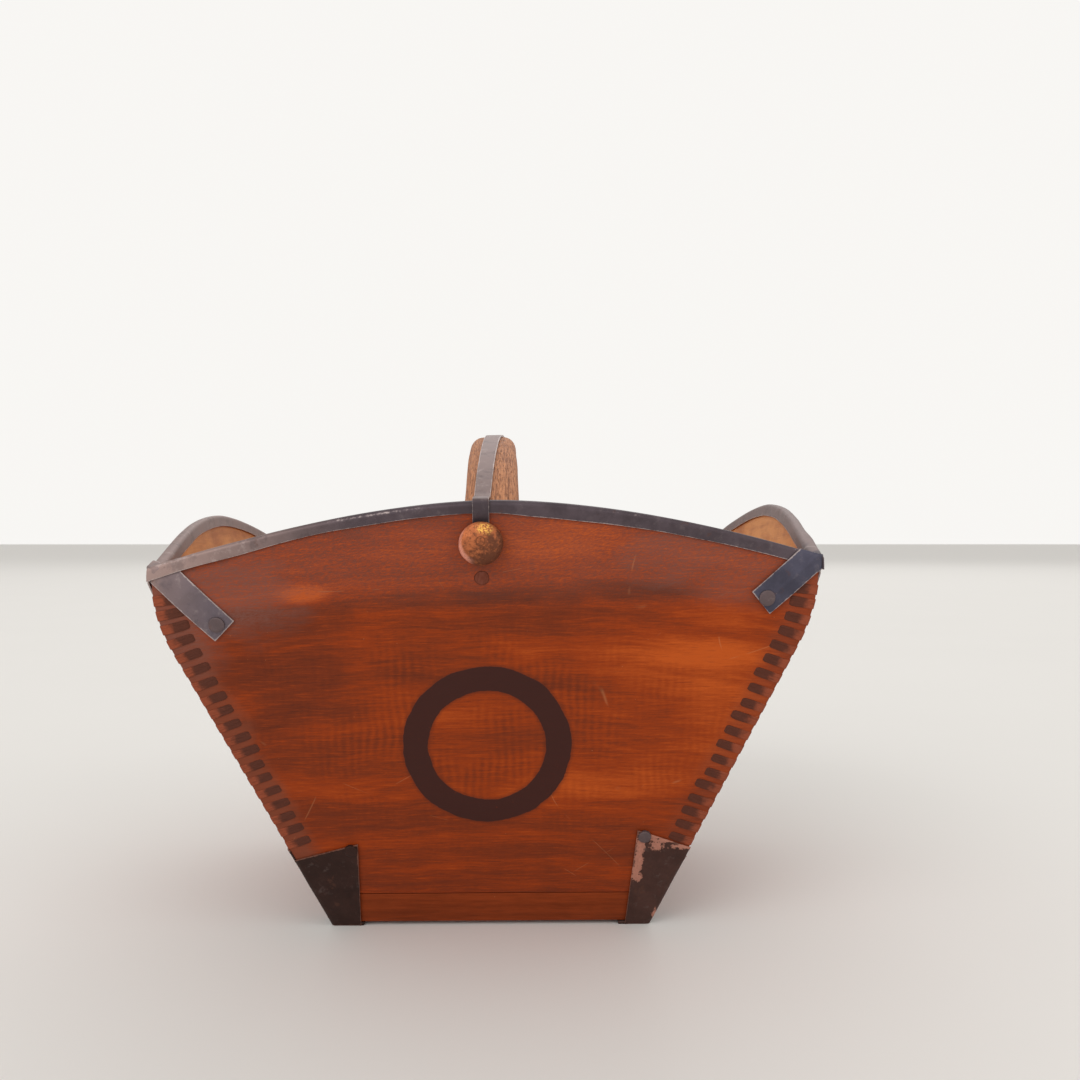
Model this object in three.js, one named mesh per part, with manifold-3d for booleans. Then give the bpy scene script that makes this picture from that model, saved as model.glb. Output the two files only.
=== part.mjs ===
// Flared wooden grain measure. Four thin boards stand on a thick base board and are laced together at the
// corners. Folded iron strips bind the rim, iron shoes guard the lower corners, and a strapped wooden bow is the
// handle.
// Millimetres, +Z up, -Y is the front. The origin is on the table, under the middle of the base.
import * as THREE from "three";
import { mergeVertices } from "three/addons/utils/BufferGeometryUtils.js";
import Module from "manifold-3d";

const wasm = await Module();
wasm.setup();

// Driving dimensions
const CLEAR = 0.3; // left between pieces that touch
const LEAN = 0.0145; // how far out of true the rim stands, as a share of height at the right corner
const CUT_PAST = 2; // how far a cut runs past the faces that it goes through

const BASE_HALF = 99.5; // half the width of the foot, measured to the outer face at table height
const FLARE = 0.42; // outward run of each wall per unit of height
const BEND_HEIGHT = 182; // below this the walls are flat
const CORNER_HEIGHT = 231;
const CORNER_TOP_FLARE = -0.05; // the flare at the top of a corner, which leans in a little
const RIM_RISE = 32.5; // how much higher the rim is in the middle of a wall than at its corners
const RIM_POWER = 1.75; // shapes the rim's arch
const MIDDLE_TOP_FLARE = 0.2; // what is left of the flare at the top of the arch
const WALL = 4;

const BASE_EDGE_TOP = 22.8;
const BASE_PLUG_TOP = 32; // the middle of the base board rises inside the walls to this height
const EDGE_BREAK = 0.8;

const METAL = 0.9; // thickness of the sheet iron
const FLANGE = 7.2; // height of each side of the folded rim strip
const FOLD_ROUND = 0.45;
const TAB_WIDTH = 16.1;
const TAB_RISE = 3.6; // a tab's middle line crosses the corner this far above the rim's corner
// A tab's length is measured along its middle from the corner, its angle down from level.
const LONG_TAB = { length: 55.5, angle: 45, rivetInset: 5.6 };
const SHORT_TAB = { length: 43.1, angle: 40.5, rivetInset: 4.2 };
const LAP_REACH = 30; // how far from the corner a strip is lifted over the tab that lies under it
const LAP_EASE = 26;
const CORNER_LAP = 6; // how far a strip's end, carried round the corner, overlaps its own side

const RIVET_SHANK = 1.3;
const TAB_RIVET_HEAD = 4.5;
const SHOE_RIVET_HEAD = 4;
const RIVET_HEAD_HEIGHT = 1;
const RIVET_TAPER = 0.85; // a head's top radius as a share of its foot
const CLENCH_RADIUS = 3;
const CLENCH_HEIGHT = 0.8;
const SHOE_RIVET_INSET = 4.4; // from a shoe leaf's inner edge to its rivet
const SHOE_RIVET_DROP = 4.2; // from the leaf's top to its rivet

const SHOE_FOOT = 2.2; // thickness of the folded plate under each corner
const SHOE_FOOT_REACH = 20.5;
const SHOE_CORNER_CUT = 3;
// A leaf's widths are measured in from the corner, its heights up from the table.
const HIGH_LEAF = { footWidth: 15, topWidth: 37.9, innerHeight: 67, cornerHeight: 54.6 };
const LOW_LEAF = { footWidth: 17.5, topWidth: 43.8, innerHeight: 59, cornerHeight: 47.8 };

const LACE_WIDTH = 5.4;
const LACE_THICK = 0.9;
const LACE_REACH = 15; // from the corner to the slot that a stitch goes through
const LACE_PITCH = 8.6;
const LACE_ABOVE_SHOE = 0.8; // least distance from the lowest stitch to the shoe
const LACE_CLIMB = 0.3; // share of the pitch that the inside diagonal climbs at each end
const LACE_LEAN = 0.4; // how far its ends lean, as a share of its thickness

const BOW_WIDTH = 30.5;
const BOW_RISE = 52.8; // of the bow's top above the rim's arch
const BOW_END_DROP = 5.65; // the bow's top line meets the wall this far below the rim's arch
const BOW_MIDDLE_DEPTH = 26;
const BOW_FOOT_DROP = 53.65; // its underside meets the wall this far below the rim's arch
const BOW_TOP_ROUND = 8.5;
const BOW_UNDER_ROUND = 5;
const BOW_SHIFT = -1.2; // of the bow's middle to the right of the measure's middle
const BOW_SLANT = -0.021; // sideways run of the bow per unit towards the back

const STRAP_THICK = 1.2;
const STRAP_END_WIDTH = 9;
const STRAP_MIDDLE_WIDTH = 11;
const STRAP_SHIFT = 1.3;
const STRAP_SLANT = 0.0205;
const STRAP_END_DROP = 8; // of the strap's end below the nail's middle
const STRAP_SHARPEST = 0.7; // least cosine of half a bend that the strap's thickness allows for
const STRAP_STEP = 9; // from the rim's inner edge to where the strap lies on the bow

const NAIL_DROP = 20.6; // of the big nail's middle below the rim's arch
const NAIL_RADIUS = 12;
const NAIL_DOME = 6.2;
const NAIL_EDGE = 0.8;
const NAIL_SHANK = 2.2;
const NAIL_LENGTH = 26;
const NAIL_POINT = 3;
const PEG_DROP = 20.2; // of the peg's middle below the nail's
const PEG_RADIUS = 4.2;
const PEG_LENGTH = 24;
const PEG_PROUD = 0.2;

// Steps of the round and curved shapes
const RIVET_SIDES = 8;
const NAIL_SIDES = 16;
const DOME_STEPS = 4;
const RIM_STEPS = 18; // even, so that one stands at the top of the arch
const WALL_BEND_STEPS = 5;
const TAB_STEPS = 6;
const BOW_STEPS = 14;
const BOW_TOP_STEPS = 3;
const BOW_UNDER_STEPS = 2;
const STRAP_STEPS = 7;
const GAP_STEPS = 4;

// Sizes that follow from these

const QUARTER_TURN = Math.PI / 2;
// Layers of iron on a wall: the lower one lies on the wood, the upper one on the lower.
const LOWER_LAYER = CLEAR;
const UPPER_LAYER = CLEAR + METAL + CLEAR;
const RIM_TOP_EXTRA = CLEAR + METAL;
const RIM_MIDDLE_HEIGHT = CORNER_HEIGHT + RIM_RISE;
const BASE_BOTTOM = SHOE_FOOT + CLEAR;
const TAB_CORNER_HEIGHT = CORNER_HEIGHT + TAB_RISE;
const BOW_TOP = RIM_MIDDLE_HEIGHT + BOW_RISE;
const NAIL_HEIGHT = RIM_MIDDLE_HEIGHT - NAIL_DROP;
const PEG_HEIGHT = NAIL_HEIGHT - PEG_DROP;
const STRAP_END_HEIGHT = NAIL_HEIGHT - STRAP_END_DROP;
// How far past the corner the lacing's inner and outer faces start to turn.
const LACE_FOLD_INNER = 0.4 * CLEAR;
const LACE_FOLD_OUTER = (CLEAR + LACE_THICK) / 3;

// Finishes
const STAINED_WOOD = new THREE.MeshStandardMaterial({ color: 0x8a3812, roughness: 0.45 });
const BASE_WOOD = new THREE.MeshStandardMaterial({ color: 0x7a3016, roughness: 0.5 });
const RAW_WOOD = new THREE.MeshStandardMaterial({ color: 0xa8714c, roughness: 0.7 });
const BARK = new THREE.MeshStandardMaterial({ color: 0x5e2c1c, roughness: 0.8 });
const IRON = new THREE.MeshStandardMaterial({ color: 0x4c4446, roughness: 0.45, metalness: 0.8 });
const COPPER = new THREE.MeshStandardMaterial({ color: 0xa5603a, roughness: 0.4, metalness: 0.9 });

// The shape of the walls

// Half the width at a height: the flare is constant up to the bend and eases to topFlare at topHeight.
function halfWidth(z, topFlare, topHeight) {
  const above = Math.max(0, z - BEND_HEIGHT);
  const eased = Math.min(above, topHeight - BEND_HEIGHT);
  const straight = BASE_HALF + FLARE * Math.min(z, BEND_HEIGHT);
  const bent = FLARE * eased - ((FLARE - topFlare) * eased * eased) / (2 * (topHeight - BEND_HEIGHT));
  return straight + bent + topFlare * (above - eased);
}

const cornerHalf = (z) => halfWidth(z, CORNER_TOP_FLARE, CORNER_HEIGHT);
const middleHalf = (z) => halfWidth(z, MIDDLE_TOP_FLARE, RIM_MIDDLE_HEIGHT);

// How far the front wall's outer face is from the middle of the measure.
function wallDistance(x, z) {
  const corner = cornerHalf(z);
  const bulge = middleHalf(z) - corner;
  return corner + bulge * (1 - (x / corner) ** 2);
}

// A point at a distance outside the front wall's outer face.
function wallPoint(x, z, out) {
  const step = 0.01;
  const acrossSlope = (wallDistance(x + step, z) - wallDistance(x - step, z)) / (2 * step);
  const upSlope = (wallDistance(x, z + step) - wallDistance(x, z - step)) / (2 * step);
  const normal = new THREE.Vector3(-acrossSlope, -1, -upSlope).normalize();
  return new THREE.Vector3(x, -wallDistance(x, z), z).addScaledVector(normal, out);
}

function wallNormal(x, z) {
  return wallPoint(x, z, 1).sub(wallPoint(x, z, 0)).normalize();
}

// Where a layer of the front wall meets the diagonal plane through the corner.
function mitre(z, out) {
  let x = cornerHalf(z) + out;
  for (let i = 0; i < 8; i += 1) {
    const point = wallPoint(x, z, out);
    x += (-point.y - point.x) / 2;
  }
  return x;
}

// The rim's height at a share of the way from the middle of a wall to its corner.
const rimHeight = (share) => CORNER_HEIGHT + RIM_RISE * (1 - Math.abs(share) ** RIM_POWER);
const rimHeightAt = (x) => rimHeight(Math.min(1, Math.abs(x) / cornerHalf(CORNER_HEIGHT)));

function smoothStep(t) {
  const s = THREE.MathUtils.clamp(t, 0, 1);
  return s * s * (3 - 2 * s);
}

const evenly = (steps) => Array.from({ length: steps + 1 }, (_, i) => i / steps);

// Corners of a rectangle, in order round it
const RECTANGLE = [[-1, -1], [1, -1], [1, 1], [-1, 1]];
const RECTANGLE_OUTLINE = RECTANGLE.map(([x, y]) => new THREE.Vector2(x, y));

// Making solids

function signedVolume(points, faces) {
  let six = 0;
  for (let i = 0; i < faces.length; i += 3) {
    const [a, b, c] = [points[faces[i]], points[faces[i + 1]], points[faces[i + 2]]];
    six += a.dot(new THREE.Vector3().crossVectors(b, c));
  }
  return six / 6;
}

// A closed mesh from points and triangles, turned so that its faces point out.
function solidFrom(points, faces) {
  const triVerts = new Uint32Array(faces);
  if (signedVolume(points, faces) < 0) {
    for (let i = 0; i < triVerts.length; i += 3) {
      [triVerts[i + 1], triVerts[i + 2]] = [triVerts[i + 2], triVerts[i + 1]];
    }
  }
  const vertProperties = new Float32Array(points.flatMap((p) => [p.x, p.y, p.z]));
  return new wasm.Manifold(new wasm.Mesh({ numProp: 3, vertProperties, triVerts }));
}

// A skin through rings of equal length, closed at both ends. The outline says how an end ring is filled.
function loft(rings, outline) {
  const count = rings[0].length;
  const points = rings.flat();
  const faces = [];
  for (let r = 0; r + 1 < rings.length; r += 1) {
    for (let i = 0; i < count; i += 1) {
      const a = r * count + i;
      const b = r * count + ((i + 1) % count);
      faces.push(a, b, b + count, a, b + count, a + count);
    }
  }
  const last = (rings.length - 1) * count;
  const clockwise = THREE.ShapeUtils.isClockWise(outline);
  for (const [a, b, c] of THREE.ShapeUtils.triangulateShape(outline, [])) {
    const [first, second, third] = clockwise ? [a, b, c] : [a, c, b];
    faces.push(first, clockwise ? third : second, clockwise ? second : third);
    faces.push(last + first, last + (clockwise ? second : third), last + (clockwise ? third : second));
  }
  return solidFrom(points, faces);
}

function fromGeometry(geometry) {
  const weld = 1e-4;
  const bare = geometry.clone();
  bare.deleteAttribute("normal");
  bare.deleteAttribute("uv");
  const merged = mergeVertices(bare, weld);
  const position = merged.getAttribute("position");
  const points = [];
  for (let i = 0; i < position.count; i += 1) {
    points.push(new THREE.Vector3().fromBufferAttribute(position, i));
  }
  // Triangles that shrink to a line at a turned piece's axis are dropped.
  const faces = [];
  for (let i = 0; i < merged.index.count; i += 3) {
    const [a, b, c] = [0, 1, 2].map((corner) => merged.index.getX(i + corner));
    if (a !== b && b !== c && c !== a) faces.push(a, b, c);
  }
  return solidFrom(points, faces);
}

function toGeometry(solid) {
  const mesh = solid.getMesh();
  const geometry = new THREE.BufferGeometry();
  geometry.setAttribute("position", new THREE.BufferAttribute(mesh.vertProperties, 3));
  geometry.setIndex(new THREE.BufferAttribute(mesh.triVerts, 1));
  return geometry;
}

// A curved sheet that follows the front wall between two layers. Its sides, bottom and top may vary.
function sheet({ inner, outer, left, right, bottom, top, columns, rows }) {
  const box = new THREE.BoxGeometry(1, 1, 1, columns, 1, rows.length - 1);
  const position = box.getAttribute("position");
  for (let i = 0; i < position.count; i += 1) {
    const share = position.getX(i) + 0.5;
    const out = position.getY(i) < 0 ? outer : inner;
    const row = rows[Math.round((position.getZ(i) + 0.5) * (rows.length - 1))];
    const z = THREE.MathUtils.lerp(bottom(share), top(share), row);
    const point = wallPoint(THREE.MathUtils.lerp(left(z, out), right(z, out), share), z, out);
    position.setXYZ(i, point.x, point.y, point.z);
  }
  return fromGeometry(box);
}

// A prism through the front wall, with its outline drawn as seen from the front.
function wallPrism(outline) {
  const deep = 2 * BASE_HALF + 2 * RIM_MIDDLE_HEIGHT;
  const shape = new THREE.Shape(outline.map(([x, z]) => new THREE.Vector2(x, z)));
  const geometry = new THREE.ExtrudeGeometry(shape, { depth: deep, bevelEnabled: false });
  return fromGeometry(geometry.rotateX(QUARTER_TURN));
}

// A turned piece whose axis stands on the front wall. The profile lists each radius with its distance outside the
// wall.
function turned(x, z, profile, segments) {
  const points = profile.map(([radius, out]) => new THREE.Vector2(radius, out));
  const geometry = new THREE.LatheGeometry(points, segments);
  const upright = new THREE.Vector3(0, 1, 0);
  geometry.applyQuaternion(new THREE.Quaternion().setFromUnitVectors(upright, wallNormal(x, z)));
  const seat = wallPoint(x, z, 0);
  return fromGeometry(geometry.translate(seat.x, seat.y, seat.z));
}

// A round hole's tool. Its flats are at the radius, so that what goes through keeps its clearance.
function drill(x, z, radius, depth, sides) {
  const corner = radius / Math.cos(Math.PI / sides);
  const top = UPPER_LAYER + METAL + CUT_PAST;
  return turned(x, z, [[0, -depth], [corner, -depth], [corner, top], [0, top]], sides);
}

const rivetHole = (place, depth) => drill(place.x, place.y, RIVET_SHANK + CLEAR, depth, RIVET_SIDES);
const nailHole = (x, depth) => drill(x, NAIL_HEIGHT, NAIL_SHANK + CLEAR, depth, RIVET_SIDES);
const pegHole = (x, depth) => drill(x, PEG_HEIGHT, PEG_RADIUS + CLEAR, depth, NAIL_SIDES);

function rivet(x, z, seat, head) {
  const clenchTop = -WALL - CLEAR;
  const clenchBottom = clenchTop - CLENCH_HEIGHT;
  const headBottom = seat + METAL + CLEAR;
  const headTop = headBottom + RIVET_HEAD_HEIGHT;
  const profile = [
    [0, clenchBottom],
    [CLENCH_RADIUS, clenchBottom],
    [CLENCH_RADIUS, clenchTop],
    [RIVET_SHANK, clenchTop],
    [RIVET_SHANK, headBottom],
    [head, headBottom],
    [head * RIVET_TAPER, headTop],
    [0, headTop],
  ];
  return turned(x, z, profile, RIVET_SIDES);
}

const turn = (solid, quarters) => solid.rotate([0, 0, 90 * quarters]);
const join = (solids) => solids.reduce((a, b) => a.add(b));

// Places on each wall where iron is fastened

// The side is -1 at a wall's left.
const TABS = [
  { side: -1, seat: LOWER_LAYER, top: 0, ...LONG_TAB },
  { side: 1, seat: UPPER_LAYER, top: RIM_TOP_EXTRA, ...SHORT_TAB },
];
const LEAVES = [
  { side: -1, ...LOW_LEAF },
  { side: 1, ...HIGH_LEAF },
];

// A point on a tab, at a distance along it from the corner and across it.
function tabPoint({ side, angle }, along, across) {
  const steep = THREE.MathUtils.degToRad(angle);
  const direction = new THREE.Vector2(-side * Math.cos(steep), -Math.sin(steep));
  const acrossDirection = new THREE.Vector2(side * Math.sin(steep), -Math.cos(steep));
  const start = new THREE.Vector2(side * cornerHalf(CORNER_HEIGHT), TAB_CORNER_HEIGHT);
  return start.addScaledVector(direction, along).addScaledVector(acrossDirection, -across);
}

const tabRivetPlace = (tab) => tabPoint(tab, tab.length - tab.rivetInset, 0);

// Distances of a leaf's inner edge from the middle of the wall.
const leafTopX = (leaf) => cornerHalf(leaf.innerHeight) - leaf.topWidth;
const leafFootX = (leaf) => cornerHalf(0) - leaf.footWidth;

// How steeply a leaf's top edge falls towards the corner.
function leafSlope(leaf) {
  return (leaf.innerHeight - leaf.cornerHeight) / (cornerHalf(leaf.cornerHeight) - leafTopX(leaf));
}

function leafRivetPlace(leaf) {
  const x = leaf.side * (leafTopX(leaf) + SHOE_RIVET_INSET);
  return new THREE.Vector2(x, leaf.innerHeight - SHOE_RIVET_DROP);
}

const strapX = (y) => STRAP_SHIFT + STRAP_SLANT * y;
const bowX = (y) => BOW_SHIFT + BOW_SLANT * y;
const NAIL_X = strapX(-middleHalf(NAIL_HEIGHT));
const PEG_X = strapX(-middleHalf(PEG_HEIGHT));
// Seen from outside, the back wall's right is the measure's left, so the shift changes sign there.
const BACK_NAIL_X = -strapX(middleHalf(NAIL_HEIGHT));
const BACK_PEG_X = -strapX(middleHalf(PEG_HEIGHT));

// Lacing

// The corner between the front wall's right edge and the next wall, at a height.
function cornerFrame(z) {
  const step = 0.5;
  const at = (h) => new THREE.Vector3(cornerHalf(h), -cornerHalf(h), h);
  const along = at(z + step).sub(at(z - step)).normalize();
  const normal = wallNormal(cornerHalf(z), z);
  normal.addScaledVector(along, -normal.dot(along)).normalize();
  const inward = new THREE.Vector3().crossVectors(normal, along).normalize();
  if (inward.x > 0) inward.negate();
  return { origin: at(z), along, normal, inward };
}

// A stitch lies square to the leaning corner, so its inner end is higher. The lowest one clears the shoe there,
// and there are as many as fit below the tab.
const LACE_SLOPE_RISE = (LACE_REACH * FLARE) / Math.hypot(1, FLARE);
const SHOE_AT_SLOT = Math.max(...LEAVES.map((leaf) => leaf.cornerHeight + leafSlope(leaf) * LACE_REACH));
const LACE_START = SHOE_AT_SLOT + LACE_ABOVE_SHOE + LACE_WIDTH / 2 - LACE_SLOPE_RISE;
const TAB_AT_SLOT = Math.min(
  ...TABS.map((tab) => {
    const steep = THREE.MathUtils.degToRad(tab.angle);
    return TAB_CORNER_HEIGHT - LACE_REACH * Math.tan(steep) - TAB_WIDTH / 2 / Math.cos(steep);
  }),
);
const LACE_LIMIT = TAB_AT_SLOT - CLEAR - LACE_WIDTH / 2 - LACE_SLOPE_RISE;
const LACE_STITCHES = Math.floor((LACE_LIMIT - LACE_START) / LACE_PITCH) + 1;
const stitchHeight = (k) => LACE_START + LACE_PITCH * k;

// Mirrors a point of the front wall across the corner onto the next wall.
const acrossCorner = (p) => new THREE.Vector3(-p.y, -p.x, p.z);

// The least distance between stretches of a strip that lie well apart along it, measured on its edges.
function leastGap(rings) {
  const samples = [];
  let along = 0;
  for (let r = 0; r + 1 < rings.length; r += 1) {
    const length = rings[r][0].distanceTo(rings[r + 1][0]);
    for (let s = 0; s < GAP_STEPS; s += 1) {
      const share = s / GAP_STEPS;
      rings[r].forEach((p, i) => {
        samples.push({ along: along + length * share, point: p.clone().lerp(rings[r + 1][i], share) });
      });
    }
    along += length;
  }
  const apart = 3 * LACE_WIDTH;
  let least = Infinity;
  samples.forEach((a, i) => {
    for (const b of samples.slice(i + 1)) {
      if (b.along - a.along > apart) least = Math.min(least, a.point.distanceTo(b.point));
    }
  });
  return least;
}

// One unbroken strip that goes over the corner, in through a slot, and up along the inside to the next stitch.
function lacing() {
  const half = LACE_THICK / 2;
  const middleOut = CLEAR + half;
  const middleIn = -WALL - CLEAR - half;
  const rings = [];
  // A section of the strip, at a distance from the corner and from the wall's outer face. The bend says how far
  // its two faces lie to each side of that, far puts it on the next wall, and rise moves it up along the corner.
  function station(frame, distance, out, bend, far, rise) {
    const ring = [];
    for (const [across, thick] of RECTANGLE) {
      const p = frame.origin
        .clone()
        .addScaledVector(frame.inward, distance + bend.inward * thick * half)
        .addScaledVector(frame.normal, out + bend.normal * thick * half)
        .addScaledVector(frame.along, (across * LACE_WIDTH) / 2 + rise);
      ring.push(far ? acrossCorner(p) : p);
    }
    rings.push(ring);
  }
  const outerCorner = -(LACE_FOLD_INNER + LACE_FOLD_OUTER) / 2;
  const atCorner = { inward: (LACE_FOLD_INNER - LACE_FOLD_OUTER) / LACE_THICK, normal: 1 };
  const outside = { inward: 1, normal: 1 };
  const inside = { inward: 1, normal: -1 };
  const diagonal = { inward: LACE_LEAN, normal: -1 };
  const innerCorner = WALL + CLEAR + LACE_THICK;
  const climb = LACE_PITCH * LACE_CLIMB;
  const slot = LACE_REACH - half;
  for (let k = 0; k < LACE_STITCHES; k += 1) {
    const frame = cornerFrame(stitchHeight(k));
    station(frame, slot, middleOut, outside, false, 0);
    station(frame, outerCorner, middleOut, atCorner, false, 0);
    station(frame, outerCorner, middleOut, atCorner, true, 0);
    station(frame, slot, middleOut, outside, true, 0);
    station(frame, slot, middleIn, inside, true, 0);
    if (k === LACE_STITCHES - 1) {
      station(frame, innerCorner, middleIn, { inward: 0, normal: -1 }, true, 0);
    } else {
      const next = cornerFrame(stitchHeight(k + 1));
      station(frame, innerCorner, middleIn, diagonal, true, climb);
      station(next, innerCorner, middleIn, diagonal, false, -climb);
      station(next, slot, middleIn, inside, false, 0);
    }
  }
  console.log(`Least gap of a lacing strip to itself: ${leastGap(rings).toFixed(2)} mm`);
  return loft(rings, RECTANGLE_OUTLINE);
}

// The slots of one edge of the front wall, at its right or, mirrored, at its left.
function laceSlots(side) {
  const slots = [];
  const halfAlong = LACE_WIDTH / 2 + CLEAR;
  const halfInward = LACE_THICK / 2 + CLEAR;
  for (let k = 0; k < LACE_STITCHES; k += 1) {
    const frame = cornerFrame(stitchHeight(k));
    const corner = (a, d, n) => {
      const p = frame.origin
        .clone()
        .addScaledVector(frame.inward, LACE_REACH - LACE_THICK / 2 + d * halfInward)
        .addScaledVector(frame.normal, n)
        .addScaledVector(frame.along, a * halfAlong);
      return new THREE.Vector3(side * p.x, p.y, p.z);
    };
    const ring = (n) => RECTANGLE.map(([a, d]) => corner(a, d, n));
    slots.push(loft([ring(-WALL - CUT_PAST), ring(CUT_PAST)], RECTANGLE_OUTLINE));
  }
  return slots;
}

// Pieces, each made at the front and turned to its place

function wall(nailX, pegX, hasHandle) {
  const edge = (z, out) => mitre(z, out) - CLEAR / Math.SQRT2;
  const flatRow = (BEND_HEIGHT - BASE_EDGE_TOP - CLEAR) / (CORNER_HEIGHT - BASE_EDGE_TOP - CLEAR);
  const rows = [0, ...evenly(WALL_BEND_STEPS).map((share) => flatRow + share * (1 - flatRow))];
  const board = sheet({
    inner: -WALL,
    outer: 0,
    left: (z, out) => -edge(z, out),
    right: edge,
    bottom: () => BASE_EDGE_TOP + CLEAR,
    top: (share) => rimHeight(2 * share - 1),
    columns: 10,
    rows,
  });
  const holes = [...laceSlots(1), ...laceSlots(-1)];
  const deep = WALL + CUT_PAST;
  holes.push(...TABS.map((tab) => rivetHole(tabRivetPlace(tab), deep)));
  holes.push(...LEAVES.map((leaf) => rivetHole(leafRivetPlace(leaf), deep)));
  if (hasHandle) holes.push(nailHole(nailX, deep), pegHole(pegX, deep));
  return board.subtract(join(holes));
}

// A tab lies on the front wall, cut off at the rim and pierced for its rivet.
function tab(item) {
  const { side, length, seat, top } = item;
  const past = seat + METAL;
  const half = TAB_WIDTH / 2;
  const beyond = -2 * TAB_WIDTH;
  const outline = [
    tabPoint(item, beyond, -half),
    tabPoint(item, length, -half),
    tabPoint(item, length, half),
    tabPoint(item, beyond, half),
  ].map((p) => [p.x, p.y]);
  const foot = Math.min(...outline.map(([, z]) => z)) - CUT_PAST;
  const near = cornerHalf(CORNER_HEIGHT) - length;
  const plate = sheet({
    inner: seat,
    outer: seat + METAL,
    left: (z) => (side < 0 ? -cornerHalf(z) - past : near),
    right: (z) => (side < 0 ? -near : cornerHalf(z) + past),
    bottom: () => foot,
    top: (share) => {
      const from = side < 0 ? -cornerHalf(CORNER_HEIGHT) - past : near;
      const to = side < 0 ? -near : cornerHalf(CORNER_HEIGHT) + past;
      return rimHeightAt(THREE.MathUtils.lerp(from, to, share)) + top;
    },
    columns: 3,
    rows: evenly(TAB_STEPS),
  });
  return plate.intersect(wallPrism(outline)).subtract(rivetHole(tabRivetPlace(item), WALL));
}

// The end of a strip's outer side, carried round the corner. It meets the tab on the next wall.
function cornerLap(side, seat, top) {
  const past = seat + METAL;
  const outerEdge = (z) => cornerHalf(z) + past;
  const innerEdge = (z) => cornerHalf(z) - CORNER_LAP;
  return sheet({
    inner: seat,
    outer: seat + METAL,
    left: (z) => (side < 0 ? -outerEdge(z) : innerEdge(z)),
    right: (z) => (side < 0 ? -innerEdge(z) : outerEdge(z)),
    bottom: () => CORNER_HEIGHT - FLANGE,
    top: () => CORNER_HEIGHT + top,
    columns: 1,
    rows: evenly(2),
  });
}

// A strip folded over the rim. Its left end laps over the tab beneath, its right end lies under the tab of the
// next strip.
function rimStrip() {
  const innerFace = -WALL - CLEAR - METAL;
  const halfTop = cornerHalf(CORNER_HEIGHT);
  const section = (x) => {
    const lap = 1 - smoothStep((x + halfTop - LAP_REACH) / LAP_EASE);
    const outerSide = LOWER_LAYER + (UPPER_LAYER - LOWER_LAYER) * lap;
    return [
      [outerSide + METAL, -FLANGE],
      [outerSide + METAL, RIM_TOP_EXTRA - FOLD_ROUND],
      [outerSide + METAL - FOLD_ROUND, RIM_TOP_EXTRA],
      [innerFace + FOLD_ROUND, RIM_TOP_EXTRA],
      [innerFace, RIM_TOP_EXTRA - FOLD_ROUND],
      [innerFace, -FLANGE],
      [innerFace + METAL, -FLANGE],
      [innerFace + METAL, CLEAR],
      [outerSide, CLEAR],
      [outerSide, -FLANGE],
    ];
  };
  const rings = [];
  for (const step of evenly(RIM_STEPS)) {
    const share = Math.sin((2 * step - 1) * QUARTER_TURN);
    const top = rimHeight(share);
    rings.push(
      section(share * halfTop).map(([out, up]) => {
        const z = top + up;
        return wallPoint(share * (mitre(z, out) - CLEAR / Math.SQRT2), z, out);
      }),
    );
  }
  const outline = section(0).map(([out, up]) => new THREE.Vector2(out, up));
  const channel = loft(rings, outline);
  const [longTab, shortTab] = TABS;
  return join([
    channel,
    cornerLap(1, LOWER_LAYER, 0),
    turn(tab(longTab), 1),
    cornerLap(-1, UPPER_LAYER, RIM_TOP_EXTRA),
    turn(tab(shortTab), -1),
  ]);
}

// One leaf of a corner shoe, on the front wall.
function shoeLeaf(leaf) {
  const { side, innerHeight } = leaf;
  const past = LOWER_LAYER + METAL;
  const footX = leafFootX(leaf);
  const topX = leafTopX(leaf);
  const farX = cornerHalf(innerHeight) + 2 * past;
  const outline = [
    [side * footX, 0],
    [side * topX, innerHeight],
    [side * farX, innerHeight - leafSlope(leaf) * (farX - topX)],
    [side * farX, 0],
  ];
  const near = Math.min(footX, topX) - CUT_PAST;
  const plate = sheet({
    inner: LOWER_LAYER,
    outer: LOWER_LAYER + METAL,
    left: (z) => (side < 0 ? -cornerHalf(z) - past : near),
    right: (z) => (side < 0 ? -near : cornerHalf(z) + past),
    bottom: () => -CUT_PAST,
    top: () => innerHeight + CUT_PAST,
    columns: 1,
    rows: evenly(1),
  });
  return plate.intersect(wallPrism(outline)).subtract(rivetHole(leafRivetPlace(leaf), WALL));
}

// A shoe wraps the corner at the front wall's right and folds under the base as a foot.
function cornerShoe() {
  const [lowLeaf, highLeaf] = LEAVES;
  const outer = cornerHalf(0) + (LOWER_LAYER + METAL) * Math.hypot(1, FLARE);
  const inner = outer - SHOE_FOOT_REACH;
  const shape = new THREE.Shape();
  shape.moveTo(inner, -outer);
  shape.lineTo(outer - SHOE_CORNER_CUT, -outer);
  shape.lineTo(outer, -outer + SHOE_CORNER_CUT);
  shape.lineTo(outer, -inner);
  shape.lineTo(inner, -inner);
  const foot = fromGeometry(new THREE.ExtrudeGeometry(shape, { depth: SHOE_FOOT, bevelEnabled: false }));
  return join([shoeLeaf(highLeaf), turn(shoeLeaf(lowLeaf), 1), foot]);
}

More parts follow.
